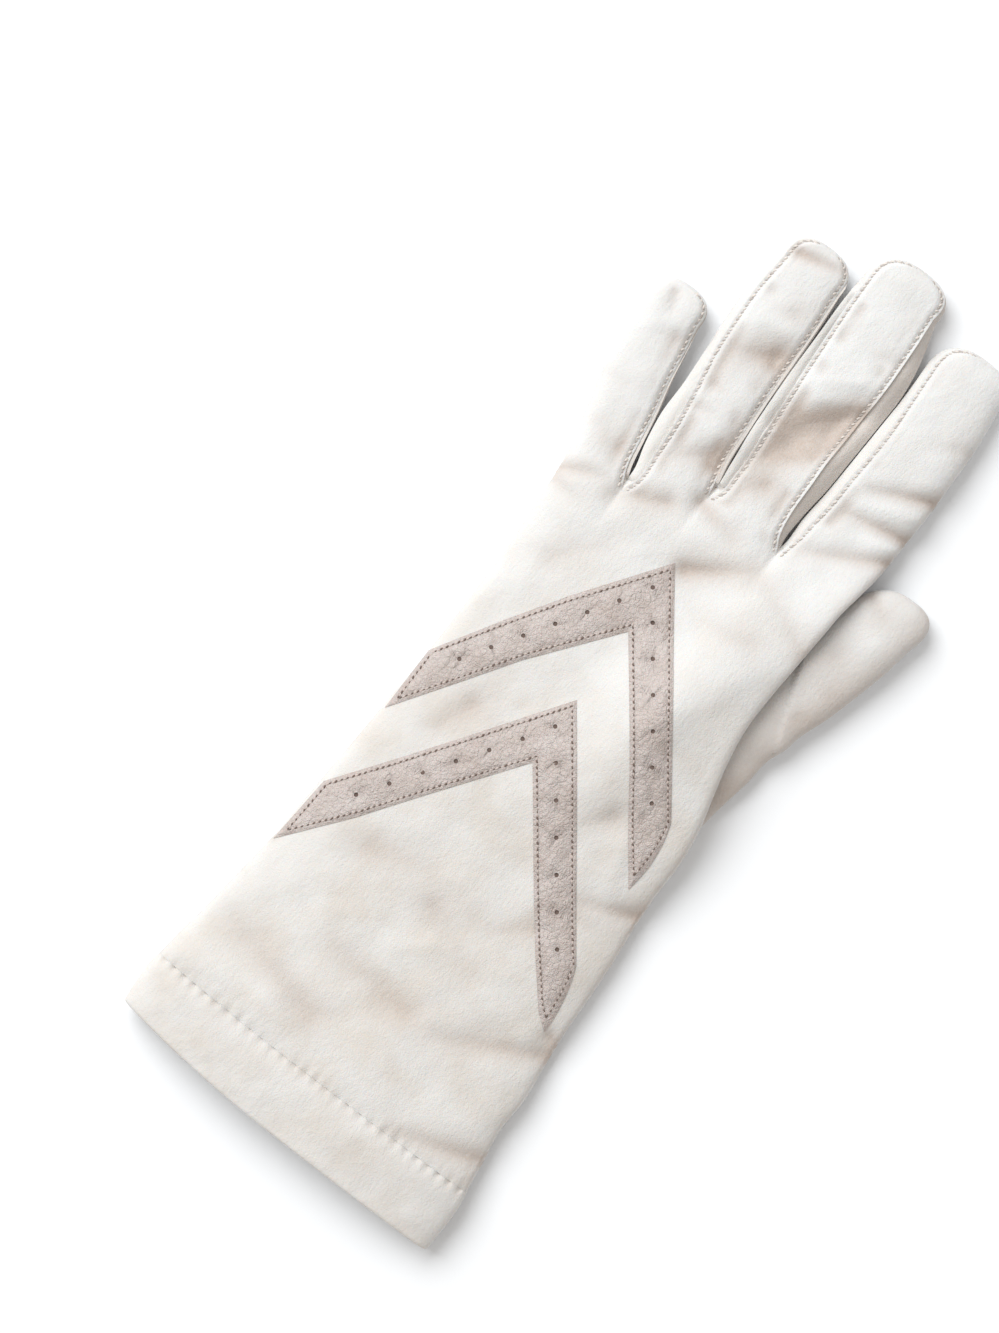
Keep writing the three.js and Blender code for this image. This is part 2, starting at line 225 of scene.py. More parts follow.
leatherLook = {
    # crease colours the grain's creases, and the painted shade from the attribute mixes towards it too
    "pale": (0.625, 0.565, 0.54, 1), "greige": (0.54, 0.47, 0.435, 1), "crease": (0.23, 0.18, 0.16, 1),
    "patch": 6.0, "wrinkle": 1.6, "grain": 0.6, "bend": 0.9, "pore": 0.35,       # sizes in millimetres
    "wrinkleHeight": 0.16, "grainHeight": 0.12, "poreHeight": 0.08,
    "wrinkleShade": 0.13, "grainShade": 0.13, "paintedShadeWeight": 0.5, "roughness": 0.42,
}


def leatherMaterial():
    def bent(start, place):
        # the place pushed about by noise, so that the creases wander
        push = start.node("ShaderNodeTexNoise", None,
                          {"Vector": place, "Scale": 1 / (leatherLook["wrinkle"] * millimetre)}, 1)
        push = start.node("ShaderNodeVectorMath", {"operation": "SUBTRACT"},
                          {0: push, 1: (0.5, 0.5, 0.5)})
        push = start.node("ShaderNodeVectorMath", {"operation": "SCALE"},
                          {0: push, "Scale": leatherLook["bend"] * millimetre})
        return start.node("ShaderNodeVectorMath", {"operation": "ADD"}, {0: place, 1: push})

    def cells(start, place, size):
        return start.node("ShaderNodeTexVoronoi", {"feature": "DISTANCE_TO_EDGE"},
                          {"Vector": bent(start, place), "Scale": 1 / (size * millimetre)})

    def colour(start, place):
        patch = noiseOn(start, place, leatherLook["patch"], 3.0).spread(0.3, 0.7)
        base = patch.mixed(leatherLook["greige"], leatherLook["pale"])
        wrinkle = 1 - cells(start, place, leatherLook["wrinkle"]).spread(0.0, 0.07)
        grain = 1 - cells(start, place, leatherLook["grain"]).spread(0.0, 0.12)
        # painted shade for the stitch groove, the rounded edge, and the dimples and creases at the holes
        paintedShade = start.node("ShaderNodeAttribute", {"attribute_name": "paintedShade"}, output=2)
        shade = (wrinkle * leatherLook["wrinkleShade"] + grain * leatherLook["grainShade"]
                 + paintedShade * leatherLook["paintedShadeWeight"])
        return shade.mixed(base, leatherLook["crease"])

    def roughness(start, place):
        return noiseOn(start, place, leatherLook["grain"]) * 0.2 + leatherLook["roughness"]

    def wrinkle(start, place):
        return cells(start, place, leatherLook["wrinkle"]).spread(0.0, 0.3)

    def grain(start, place):
        return cells(start, place, leatherLook["grain"]).spread(0.0, 0.4)

    def pore(start, place):
        return noiseOn(start, place, leatherLook["pore"], 3.0, 0.6)

    constants = {"Specular IOR Level": 0.4, "Subsurface Weight": 0.05, "Subsurface Scale": 0.001}
    bumps = [(wrinkle, leatherLook["wrinkleHeight"]), (grain, leatherLook["grainHeight"]),
             (pore, leatherLook["poreHeight"])]
    return surface("leather", colour, roughness, bumps, constants)


threadLook = {"fibre": 0.3, "darker": 0.86}


def threadMaterial(name, colour, roughness, fibreHeight):
    def tint(start, place):
        darker = tuple(value * threadLook["darker"] for value in colour[:3]) + (1,)
        return noiseOn(start, place, threadLook["fibre"] * 2).mixed(colour, darker)

    def fibre(start, place):
        return noiseOn(start, place, threadLook["fibre"])

    def rough(start, place):
        return fibre(start, place) * 0.1 + roughness

    return surface(name, tint, rough, [(fibre, fibreHeight)], {"Specular IOR Level": 0.2})


def floorMaterial():
    material = bpy.data.materials.new("floor")
    material.use_nodes = True
    shader = material.node_tree.nodes["Principled BSDF"]
    shader.inputs["Base Color"].default_value = view["floorColour"]
    shader.inputs["Roughness"].default_value = 0.6
    shader.inputs["Specular IOR Level"].default_value = 0.1
    return material


materials = {
    "cloth": clothMaterial("cloth", clothLook["ivory"], clothLook["paintedShadeShare"]),
    "sideCloth": clothMaterial("sideCloth", clothLook["sides"], clothLook["sidesPaintedShadeShare"]),
    "leather": leatherMaterial(),
    "thread": threadMaterial("thread", (0.74, 0.68, 0.63, 1), 0.7, 0.03),
    # painted shadow: the tan-grey of the needle holes along the cloth seams
    "clothNeedleShadow": threadMaterial("clothNeedleShadow", (0.51, 0.465, 0.435, 1), 0.9, 0.02),
    "leatherThread": threadMaterial("leatherThread", (0.60, 0.51, 0.47, 1), 0.6, 0.03),
    # painted shadow: the dark colour of the punched pits and the needle holes in the leather
    "leatherHoleShadow": threadMaterial("leatherHoleShadow", (0.19, 0.14, 0.12, 1), 0.9, 0.02),
    "floor": floorMaterial(),
}
print("glove: materials made")


def makeFloor():
    half = 1.6
    below = -0.0003
    mesh = bpy.data.meshes.new("floor")
    corners = [(-half, -half, below), (half, -half, below), (half, half, below), (-half, half, below)]
    mesh.from_pydata(corners, [], [(0, 1, 2, 3)])
    mesh.materials.append(materials["floor"])
    floor = bpy.data.objects.new("floor", mesh)
    bpy.context.collection.objects.link(floor)


makeFloor()

# Curves and noise that the glove's surfaces are worked out from


def table(names, *rows):
    return dict(zip(names.split(), np.array(rows, float).T))


def along(rows, name, at):
    # a smooth curve through one column of a table
    knots, values = rows["y"], rows[name]
    slopes = np.gradient(values, knots)
    at = np.clip(at, knots[0], knots[-1])
    cell = np.clip(np.searchsorted(knots, at, side="right") - 1, 0, len(knots) - 2)
    span = knots[cell + 1] - knots[cell]
    t = (at - knots[cell]) / span
    start = (2 * t**3 - 3 * t**2 + 1) * values[cell] + (t**3 - 2 * t**2 + t) * span * slopes[cell]
    return start + (3 * t**2 - 2 * t**3) * values[cell + 1] + (t**3 - t**2) * span * slopes[cell + 1]


def ramp(value, start, end):
    t = np.clip((value - start) / (end - start), 0, 1)
    return t * t * (3 - 2 * t)


def hump(value, width):
    return np.exp(-((value / width) ** 2))


def toSegment(x, y, x1, y1, x2, y2):
    # how far along a segment its nearest point lies, from 0 to 1, and how far away it is
    alongX, alongY = x2 - x1, y2 - y1
    near = np.clip(((x - x1) * alongX + (y - y1) * alongY) / (alongX**2 + alongY**2), 0, 1)
    return near, np.hypot(x - x1 - near * alongX, y - y1 - near * alongY)


def softNoise(x, y, size, seed):
    # smooth noise from -1 to 1 with features of about size millimetres
    cells = 64
    lattice = np.random.default_rng(seed).uniform(-1, 1, (cells, cells))
    columnAt = np.floor(x / size).astype(int)
    rowAt = np.floor(y / size).astype(int)
    tx = ramp(x / size - columnAt, 0, 1)
    ty = ramp(y / size - rowAt, 0, 1)

    def across(row):
        here = lattice[columnAt % cells, row % cells]
        beyond = lattice[(columnAt + 1) % cells, row % cells]
        return here * (1 - tx) + beyond * tx

    return across(rowAt) * (1 - ty) + across(rowAt + 1) * ty


def unevenness(x, y, layers):
    # each layer has a height, a size of its features and a seed
    return sum(height * softNoise(x, y, size, seed) for height, size, seed in layers)


# The hand's form

section = {"edgeShare": 0.42, "archPower": 2.7, "tipPower": 2.6, "flatSink": 1.4, "blend": 0.8,
           "outsideFall": 1.5}

palm = table("y left right high",
             (-103.15, -50.0, 53.6, 12.3), (-95, -49.1, 52.4, 12.5), (-85, -47.7, 50.9, 11.8),
             (-75, -46.5, 51.3, 11.1), (-64, -45.1, 50.0, 10.7), (-54, -44.2, 49.1, 11.0),
             (-43, -43.7, 48.7, 11.4), (-32, -43.1, 48.1, 11.4), (-21, -42.5, 47.0, 11.6),
             (-10, -42.0, 46.4, 11.8), (0, -41.4, 46.4, 11.9), (10, -41.1, 45.2, 12.2),
             (20, -41.0, 42.5, 12.4), (30, -41.0, 40.0, 12.4), (40, -41.0, 38.6, 12.3),
             (50, -41.8, 38.7, 12.1), (60, -42.5, 39.3, 11.5))

# A lip is how far a seam's raw edge lies inside the finger's outline, on its left and right side.
fingers = {
    "little": {
        "tip": (-43.6, 125.0),
        "rows": table("y left right high",
                      (62, -42.3, -21.4, 10.6), (70, -43.6, -24.8, 10.6), (76, -45.0, -27.2, 10.1),
                      (84, -47.0, -28.9, 9.5), (92, -49.2, -30.5, 9.9), (101, -50.9, -32.6, 9.9),
                      (110, -52.0, -34.1, 9.5), (117, -52.3, -35.3, 9.3)),
        "lips": table("y left right", (70, 0, 1.0), (76, 0, 1.2), (84, 0, 0.9), (95, 0, 0.5), (117, 0, 0.4)),
    },
    "ring": {
        "tip": (-20.2, 155.4),
        "rows": table("y left right high",
                      (62, -28.6, -2.0, 11.5), (70, -27.0, -2.8, 11.6), (76, -26.5, -3.9, 11.1),
                      (84, -28.4, -5.6, 10.5), (93, -29.8, -7.5, 10.4), (103, -29.9, -8.3, 10.5),
                      (113, -30.5, -9.0, 10.6), (124, -31.4, -9.4, 10.4), (135, -31.8, -9.9, 10.6),
                      (146, -30.8, -10.6, 9.9)),
        "lips": table("y left right", (70, 1.2, 0.8), (76, 2.2, 0.8), (84, 3.7, 1.0), (93, 4.4, 0.8),
                      (103, 3.1, 0.8), (113, 1.9, 0.7), (124, 1.9, 0.5), (135, 1.9, 0.4), (146, 1.7, 0.6)),
    },
    "middle": {
        "tip": (3.6, 165.4),
        "rows": table("y left right high",
                      (62, -12.6, 21.6, 11.9), (72, -11.0, 20.8, 12.0), (79, -9.2, 18.8, 11.3),
                      (85, -6.5, 16.8, 10.8), (93, -6.9, 16.8, 10.5), (103, -8.0, 17.8, 10.6),
                      (113, -8.6, 18.2, 10.5), (124, -9.0, 18.6, 10.7), (135, -9.1, 18.8, 11.1),
                      (146, -9.3, 17.2, 10.6), (156, -8.9, 14.4, 9.9)),
        "lips": table("y left right", (80, 1.0, 1.0), (86, 1.8, 1.8), (90, 2.2, 2.6), (97, 3.1, 3.6),
                      (107, 3.3, 4.7), (117, 3.0, 4.7), (126, 2.5, 4.7), (135, 2.0, 4.7), (143, 1.7, 4.0),
                      (150, 1.4, 2.8), (156, 1.0, 1.4)),
    },
    "index": {
        "tip": (31.2, 156.4),
        "rows": table("y left right high",
                      (62, 10.4, 39.3, 11.5), (72, 12.9, 40.0, 11.8), (79, 15.6, 40.5, 11.3),
                      (85, 17.3, 41.5, 10.8), (93, 17.3, 42.7, 10.6), (103, 18.1, 43.2, 10.6),
                      (113, 18.5, 43.6, 10.7), (124, 18.9, 43.4, 11.1), (136, 19.2, 43.1, 10.8),
                      (147, 18.9, 41.8, 10.4)),
        "lips": table("y left right", (80, 0.8, 0), (86, 0.9, 0), (90, 1.7, 0), (97, 2.2, 0), (108, 2.1, 0),
                      (124, 2.3, 0), (137, 1.4, 0), (147, 1.2, 0)),
    },
}
fingerNames = ["little", "ring", "middle", "index"]

# Two fingers' seams meet in a point at the foot of the strip between them.
strips = [
    {"node": "little_ring_fourchette", "from": "little", "to": "ring", "foot": 70.0, "rootEnd": 72.0,
     "raise": 4.4, "reach": 8.0},
    {"node": "ring_middle_fourchette", "from": "ring", "to": "middle", "foot": 82.3, "rootEnd": 83.0,
     "raise": 4.8, "reach": 2.6},
    {"node": "middle_index_fourchette", "from": "middle", "to": "index", "foot": 81.0, "rootEnd": 82.0,
     "raise": 1.8, "reach": 2.6},
]
rootLength = 27.0
littleRoot = (-32, -18)  # between these x the fingers' roots go from the little finger's to the others'

# The thumb side of the hand rides up over the thumb that lies below it.
lift = {"height": 10.5, "ramp": 31.0, "edgeX": 28.0, "edgeY": 37.0, "slope": 0.36,
        "rise": (-26.0, 42.0), "fall": (72.0, 110.0), "drape": 0.36, "drapeX": (14.0, 37.0),
        "thinner": 0.44, "squarer": 2.0}
# The cuff's edge runs up towards the little finger.
slant = {"leftRise": 4.3, "leftPower": 1.6, "rightDrop": 0.7, "halfWidth": 50.0, "startY": -80.0,
         "reach": 42.0, "power": 1.7}

# Valleys run between two points, or ridges if the depth is negative: x1, y1, x2, y2, depth, spread.
foldForm = {"fading": 0.6, "sharpness": 1.45, "fullShade": 2.0}
folds = [
    (0.5, 63.5, 14, 73, 2.3, 3.2), (-14, 75, -27, 68, 1.6, 3.0), (-7, 80.5, 6, 77, 1.5, 2.6),
    (-44, 65, -33, 70, 1.6, 2.4), (-43, 62, -34, 61, 1.0, 2.2), (38, 64, 16, 75, 0.9, 3.4),
    (-23, 1, -27, -9, 1.4, 4.4), (25, 0, 20, -6, 1.2, 3.8), (47, -17, 31, -24, 2.1, 2.8),
    (-22, -46, -5, -41, 1.0, 5.4), (1, -48, 18, -56, 1.1, 5.0),
    (27, -36, 17, -44, 1.1, 3.8), (31, -5, 37, -22, -0.8, 3.2), (33, -28, 41, -27, 0.7, 2.6),
    (12, -75, -15, -72, 1.3, 4.6), (49, -62, 22, -75, 1.7, 3.8), (-8, -90, -40, -83, 1.3, 5.0),
    (52, -94, 28, -102, 1.8, 3.0), (-46, -99, -22, -95, -0.8, 4.0), (0, -62, 12, -52, -0.8, 5.0),
    (46, -57, 54, -60, 1.3, 1.8), (-44.5, -59.5, -51, -62, 1.0, 1.5), (40, -61, 47, -66, -0.7, 2.8),
    (4, 48, 5, 22, -0.8, 4.6), (-30, 45, -20, 56, 0.8, 4.2), (26, 58, 10, 55, 0.8, 4.0),
    (44, 118, 27, 110, 2.2, 2.2), (44, 105, 26, 101.5, 2.3, 2.2), (43, 111, 29, 106, -0.7, 2.4),
    (43, 97.5, 22, 86, 1.8, 2.4), (42, 101, 25, 94, -0.7, 2.2), (44, 134, 34, 130, 0.8, 2.6),
    (13, 123.5, 0, 110.5, 3.5, 5.0), (3, 107, -2, 98, 3.0, 4.8), (4, 94, 0, 90, 1.6, 4.0),
    (9, 115, 1, 109, 2.4, 4.4), (1, 121, 14, 128, -0.7, 2.4),
    (-6, 105, 0, 109, -0.7, 1.8), (8, 131, -5, 122, -1.0, 3.2), (13, 141, 6, 139, 0.6, 2.4),
    (-14, 123, -21.5, 119, 2.6, 4.3), (-9.5, 90, -11, 102, 1.8, 2.6), (-14, 91, -23, 84, 1.2, 3.2),
    (-23, 107, -20, 107, 0.8, 2.4), (-23, 100, -19, 101, 0.9, 2.2), (-17, 135, -21, 134, 0.8, 3.2),
    (-26, 149, -13, 152, 2.1, 2.0), (-24, 128, -14, 131, -0.6, 3.0),
    (-50, 92, -38, 95, 0.5, 3.4), (-46, 121, -44, 116, 1.0, 1.5), (-36, 112, -42, 110, 0.5, 2.4),
    (-34, 78, -44, 82, 0.7, 3.4),
]


def arch(u, squarer=0.0):
    power = section["archPower"] + squarer
    return np.maximum(1 - np.abs(u) ** power, 0) ** (1 / power)


def thumbLift(x, y):
    edge = lift["edgeX"] + (y - lift["edgeY"]) * lift["slope"]
    across = lift["height"] * ramp(x, edge - lift["ramp"], edge)
    return across * ramp(y, *lift["rise"]) * (1 - ramp(y, *lift["fall"]))


def overThumb(x, y):
    # 1 where the hand's edge drapes over the thumb
    return ramp(y, *lift["rise"]) * (1 - ramp(y, *lift["fall"])) * ramp(x, *lift["drapeX"])


def edgeHeight(x, y, high):
    # the outline's height, let down to the thumb where the hand lies over it
    return high * (section["edgeShare"] - lift["drape"] * overThumb(x, y))


def cuffSlant(x, y):
    share = np.clip((slant["startY"] - y) / slant["reach"], 0, 1) ** slant["power"]
    side = np.abs(x) / slant["halfWidth"]
    return share * np.where(x < 0, slant["leftRise"] * side ** slant["leftPower"], -slant["rightDrop"] * side)


def foldDepth(valleys, x, y):
    depth = np.zeros_like(x)
    for x1, y1, x2, y2, deep, spread in valleys:
        near, away = toSegment(x, y, x1, y1, x2, y2)
        depth += deep * (1 - foldForm["fading"] * near) * np.exp(-((away / spread) ** foldForm["sharpness"]))
    return depth


def outerEdge(side, y):
    # the hand's outline on its little finger side or thumb side
    finger = fingers["little" if side == "left" else "index"]["rows"]
    rows = {"y": np.concatenate([palm["y"], finger["y"][1:]]),
            side: np.concatenate([palm[side], finger[side][1:]])}
    return along(rows, side, y)


def tipShare(finger, y):
    last = finger["rows"]["y"][-1]
    return np.clip((y - last) / (finger["tip"][1] - last), 0, 1)


def roundedEdges(finger, left, right, y):
    # left and right outline with the fingertip rounded off, the height, and the tip's scale
    share = tipShare(finger, y)
    scale = np.maximum(1 - share ** section["tipPower"], 0) ** (1 / section["tipPower"])
    middle = (left + right) / 2 * (1 - share) + finger["tip"][0] * share
    half = (right - left) / 2 * scale
    return middle - half, middle + half, along(finger["rows"], "high", y), scale


def fingerEdges(name, y):
    finger = fingers[name]
    left = outerEdge("left", y) if name == "little" else along(finger["rows"], "left", y)
    right = outerEdge("right", y) if name == "index" else along(finger["rows"], "right", y)
    return roundedEdges(finger, left, right, y)


def sheets(left, right, high, scale, x, y):
    # back, underside and edge height of a section between two edges
    half = np.maximum((right - left) / 2, 1e-4)
    u = (x - (left + right) / 2) / half
    outside = np.maximum(np.abs(u) - 1, 0) * half * section["outsideFall"]
    edge = edgeHeight(x, y, high)
    over = overThumb(x, y)
    top = high * (1 - lift["thinner"] * over)
    back = edge + (top - edge) * scale * arch(u, lift["squarer"] * over) - outside
    under = np.maximum(edge - (edge * scale + section["flatSink"]) * arch(u), edge * (1 - scale)) + outside
    return back, under, edge


def smoothMost(first, second):
    # the larger of the two, rounded where they cross
    blend = section["blend"]
    near = np.maximum(blend - np.abs(first - second), 0) / blend
    return np.maximum(first, second) + near**2 * blend / 4


def handSheets(x, y):
    # the hand's back and underside before its folds, and the height of its edge line
    palmBack, palmUnder, palmEdge = sheets(outerEdge("left", y), outerEdge("right", y),
                                           along(palm, "high", y), 1.0, x, y)
    back, under, edge = None, None, None
    for name in fingerNames:
        fingerBack, fingerUnder, fingerEdge = sheets(*fingerEdges(name, y), x, y)
        if back is None:
            back, under, edge = fingerBack, fingerUnder, fingerEdge
        else:
            edge = np.where(fingerBack > back, fingerEdge, edge)
            back = smoothMost(back, fingerBack)
            under = -smoothMost(-under, -fingerUnder)
    rootEnd = strips[0]["rootEnd"] + (strips[2]["rootEnd"] - strips[0]["rootEnd"]) * ramp(x, *littleRoot)
    share = ramp(y, rootEnd - rootLength, rootEnd)
    return (palmBack * (1 - share) + back * share, palmUnder * (1 - share) + under * share,
            palmEdge * (1 - share) + edge * share)


hemStitch = {"y": -103.3, "pitch": 3.7, "dimple": 0.7, "dimpleWidth": 1.1, "thread": 0.22,
             "pucker": 0.22, "puckerWidth": 2.8, "drift": 0.8, "driftSize": 7}


def hemDimples(x, y):
    # the hem's stitches pull small dimples, and short puckers run out from them
    away = y - hemStitch["y"]
    drift = hemStitch["drift"] * np.sin(x / hemStitch["driftSize"])
    wave = 0.5 + 0.5 * np.cos(2 * math.pi * x / hemStitch["pitch"] + drift)
    gathered = hemStitch["thread"] + (1 - hemStitch["thread"]) * wave**2
    groove = hemStitch["dimple"] * hump(away, hemStitch["dimpleWidth"]) * gathered
    return groove + hemStitch["pucker"] * wave * hump(away, hemStitch["puckerWidth"])


# Relief fades out over the last millimetres of height above or below the outline.
clothForm = {"back": [(0.50, 15, 3), (0.26, 6.5, 4), (0.09, 3, 5)], "under": [(0.25, 13, 8)],
             "underRise": 0.25, "backFade": 3.2, "underFade": 2.5}


def backRelief(x, y):
    return unevenness(x, y, clothForm["back"]) - foldDepth(folds, x, y)


def handBack(x, y):
    back, _, edge = handSheets(x, y)
    inside = np.clip((back - edge) / clothForm["backFade"], 0, 1)
    return back + inside * (backRelief(x, y) - hemDimples(x, y)) + thumbLift(x, y)


def handUnder(x, y):
    _, under, edge = handSheets(x, y)
    inside = np.clip((edge - under) / clothForm["underFade"], 0, 1)
    raised = clothForm["underRise"] + unevenness(x, y, clothForm["under"])
    return under + inside * raised + thumbLift(x, y)


def edgeLine(name, x, y):
    # where a finger's back and underside meet
    return edgeHeight(x, y, fingerEdges(name, y)[2]) + thumbLift(x, y)


# Meshes

sharpAngle = 55          # degrees; flatter edges are shaded smooth


def toFrame(x, y, z):
    # table millimetres to the frame's metres, with the cuff's slant
    placed = np.stack([x, y + cuffSlant(x, y) - restY, z], axis=-1)
    return placed.reshape(-1, 3) * millimetre


class Patchwork:
    # collects grids of points that meet along shared edges
    def __init__(self):
        self.points = []
        self.faces = []
        self.paintedShades = []
        self.count = 0

    def grid(self, x, y, z, paintedShade=None, flip=False):
        rows, columns = x.shape
        index = np.arange(rows * columns).reshape(rows, columns) + self.count
        corners = [index[:-1, :-1], index[:-1, 1:], index[1:, 1:], index[1:, :-1]]
        quads = np.stack(corners, axis=-1).reshape(-1, 4)
        self.faces.append(quads[:, ::-1] if flip else quads)
        self.points.append(toFrame(x, y, z))
        self.paintedShades.append(np.zeros(rows * columns) if paintedShade is None else paintedShade.reshape(-1))
        self.count += rows * columns

    def build(self, name, material):
        weld = 0.01 * millimetre
        mesh = bpy.data.meshes.new(name)
        mesh.from_pydata(np.concatenate(self.points).tolist(), [], np.concatenate(self.faces).tolist())
        # each point's painted shade, which the materials mix in as a darker, warmer colour
        attribute = mesh.attributes.new("paintedShade", "FLOAT", "POINT")
        attribute.data.foreach_set("value", np.concatenate(self.paintedShades).astype(np.float32))
        cleaner = bmesh.new()
        cleaner.from_mesh(mesh)
        bmesh.ops.remove_doubles(cleaner, verts=cleaner.verts, dist=weld)
        bmesh.ops.dissolve_degenerate(cleaner, edges=cleaner.edges, dist=weld)
        for face in cleaner.faces:
            face.smooth = True
        cleaner.to_mesh(mesh)
        cleaner.free()
        mesh.materials.append(material)
        piece = bpy.data.objects.new(name, mesh)
        bpy.context.collection.objects.link(piece)
        return piece


def giveWall(piece, thickness):
    # the surface becomes the outside of a wall of this thickness
    wall = piece.modifiers.new("wall", "SOLIDIFY")
    wall.thickness = thickness * millimetre
    wall.offset = -1.0
    wall.use_even_offset = False
    applyModifiers(piece)


def applyModifiers(piece):
    graph = bpy.context.evaluated_depsgraph_get()
    finished = bpy.data.meshes.new_from_object(piece.evaluated_get(graph))
    finished.name = piece.name
    piece.modifiers.clear()
    finished.set_sharp_from_angle(angle=math.radians(sharpAngle))
    piece.data = finished


def adopt(piece, slot, *nodes):
    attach(piece, "root")
    if nodes:
        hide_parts(*nodes)
    print("glove:", piece.name, "made,", len(piece.data.polygons), "faces")


# Geometry node trees for what repeats: the punches of the holes, and the stitches


def newTree(name, inputs):
    # a tree that makes something on each of the places it is given
    tree = bpy.data.node_groups.new(name, "GeometryNodeTree")
    inputs = [("Places", "Geometry")] + inputs + [("Finish", "Material")]
    for label, kind in inputs:
        tree.interface.new_socket(label, in_out="INPUT", socket_type="NodeSocket" + kind)
    tree.interface.new_socket("Made", in_out="OUTPUT", socket_type="NodeSocketGeometry")
    entry = tree.nodes.new("NodeGroupInput")
    given = {label: Wire(tree, entry.outputs[label]) for label, _ in inputs}
    return Wire(tree), given


def endTree(placed, given):
    # what was placed becomes one mesh with the given material
    real = placed.node("GeometryNodeRealizeInstances", None, {"Geometry": placed})
    real = placed.node("GeometryNodeSetMaterial", None, {"Geometry": real, "Material": given["Finish"]})
    ending = placed.tree.nodes.new("NodeGroupOutput")
    placed.tree.links.new(real.socket, ending.inputs["Made"])
    return placed.tree


def onPlaces(name, tree, places, vectors, finish, sizes):
    # a plain mesh of what the tree makes on the places, which carry their vectors as attributes
    mesh = bpy.data.meshes.new(name)
    mesh.from_pydata(places.tolist(), [], [])
    mesh.materials.append(materials[finish])
    for label, values in vectors.items():
        attribute = mesh.attributes.new(label, "FLOAT_VECTOR", "POINT")
        attribute.data.foreach_set("vector", values.astype(np.float32).reshape(-1))
    piece = bpy.data.objects.new(name, mesh)
    bpy.context.collection.objects.link(piece)
    rows = piece.modifiers.new("rows", "NODES")
    rows.node_group = tree
    values = {"Finish": materials[finish]}
    values.update(sizes)
    for item in tree.interface.items_tree:
        if item.in_out == "INPUT" and item.name in values:
            rows[item.identifier] = values[item.name]
    applyModifiers(piece)
    return piece


# Rows of sections up each finger

handGrid = {
    "palmStep": 1.25, "rootStart": 60.0, "fingerStep": 0.62, "sharedEnd": 87.0, "tipRows": 18,
    "backColumns": 24, "underColumns": 12, "sideColumns": 7, "wall": 0.8, "sideWall": 0.5,
    # columns crowd towards the seams, in the palm and then in the fingers, between two values of y
    "backCrowding": (0.35, 0.66), "underCrowding": (0.3, 0.5), "crowdingStart": 45, "crowdingEnd": 70,
    "underLip": 0.7,     # a lip on the underside is this share of the one on the back
    # painted shade along the thumb side's fold, where the cloth turns away from the light
    "rimShade": 0.26, "rimWidth": 1.9, "rimStart": (-70, -50), "rimEnd": (118, 128),
}
crotchReach = 8.0        # two fingers part at most this far above the foot of their strip


def findCrotch(strip):
    # where the strip's two fingers part, and the middle between them at its foot
    y = np.linspace(strip["foot"], strip["foot"] + crotchReach, 400)
    right, left = fingerEdges(strip["from"], y)[1], fingerEdges(strip["to"], y)[0]
    strip["crotch"] = float(y[np.argmax(left - right > 0)])
    strip["footX"] = float((left[0] + right[0]) / 2)


for strip in strips:
    findCrotch(strip)


def sharedRows():
    palmRows = np.arange(hemStitch["y"], handGrid["rootStart"], handGrid["palmStep"])
    rootRows = np.arange(handGrid["rootStart"], handGrid["sharedEnd"], handGrid["fingerStep"])
    rows = np.concatenate([palmRows, rootRows])
    for strip in strips:
        for mark in ("foot", "crotch"):
            rows[np.argmin(np.abs(rows - strip[mark]))] = strip[mark]
    return rows


def rowsOverTip(finger, count):
    last = finger["rows"]["y"][-1]
    return last + (finger["tip"][1] - last) * np.sin(np.linspace(0, math.pi / 2, count))


def fingerRows(name):
    finger = fingers[name]
    last = finger["rows"]["y"][-1]
    count = int((last - handGrid["sharedEnd"]) / handGrid["fingerStep"])
    straight = np.linspace(handGrid["sharedEnd"], last, count, endpoint=False)
    return np.concatenate([sharedRows(), straight, rowsOverTip(finger, handGrid["tipRows"])])


def stripBeside(name, side):
    key = "to" if side == "left" else "from"
    return next((strip for strip in strips if strip[key] == name), None)


def fingerOutline(name, side, rows):
    left, right, _, _ = fingerEdges(name, rows)
    return left if side == "left" else right


def inwardNormals(name, rows):
    # unit vectors into the finger along its left and right outline
    left, right, _, _ = fingerEdges(name, rows)
    x = np.concatenate([left, right[-2::-1]])
    y = np.concatenate([rows, rows[-2::-1]])
    dx, dy = np.gradient(x), np.gradient(y)
    size = np.maximum(np.hypot(dx, dy), 1e-9)
    nx, ny = dy / size, -dx / size
    count = len(rows)
    return (nx[:count], ny[:count]), (nx[count - 1:][::-1], ny[count - 1:][::-1])


def seamEdge(name, side, rows, lipShare):
    # the raw edge of a seam, or the outline where the cloth is only folded
    strip = stripBeside(name, side)
    outline = fingerOutline(name, side, rows)
    if strip is None:
        return outline, rows.copy(), np.zeros_like(rows)
    finger = fingers[name]
    lip = along(finger["lips"], side, rows) * lipShare
    lip = lip * (1 - tipShare(finger, rows) ** seam["tipPower"])
    footGap = abs(fingerOutline(name, side, np.array([strip["foot"]]))[0] - strip["footX"])
    lip = footGap + (lip - footGap) * ramp(rows, strip["foot"], strip["foot"] + seam["footReach"])
    nx, ny = inwardNormals(name, rows)[0 if side == "left" else 1]
    x = outline + nx * lip
    y = rows + ny * lip * tipShare(finger, rows)
    below = rows < strip["foot"]
    share = (rows - hemStitch["y"]) / (strip["foot"] - hemStitch["y"])
    cuffX = palm["left"][0] + (palm["right"][0] - palm["left"][0]) * (strips.index(strip) + 1) / 4
    x = np.where(below, cuffX + (strip["footX"] - cuffX) * share, x)
    x = np.where(rows == strip["foot"], strip["footX"], x)
    strength = ramp(rows, strip["foot"] + seam["startFoot"], strip["foot"] + seam["fullFoot"])
    return x, np.where(below, rows, y), strength


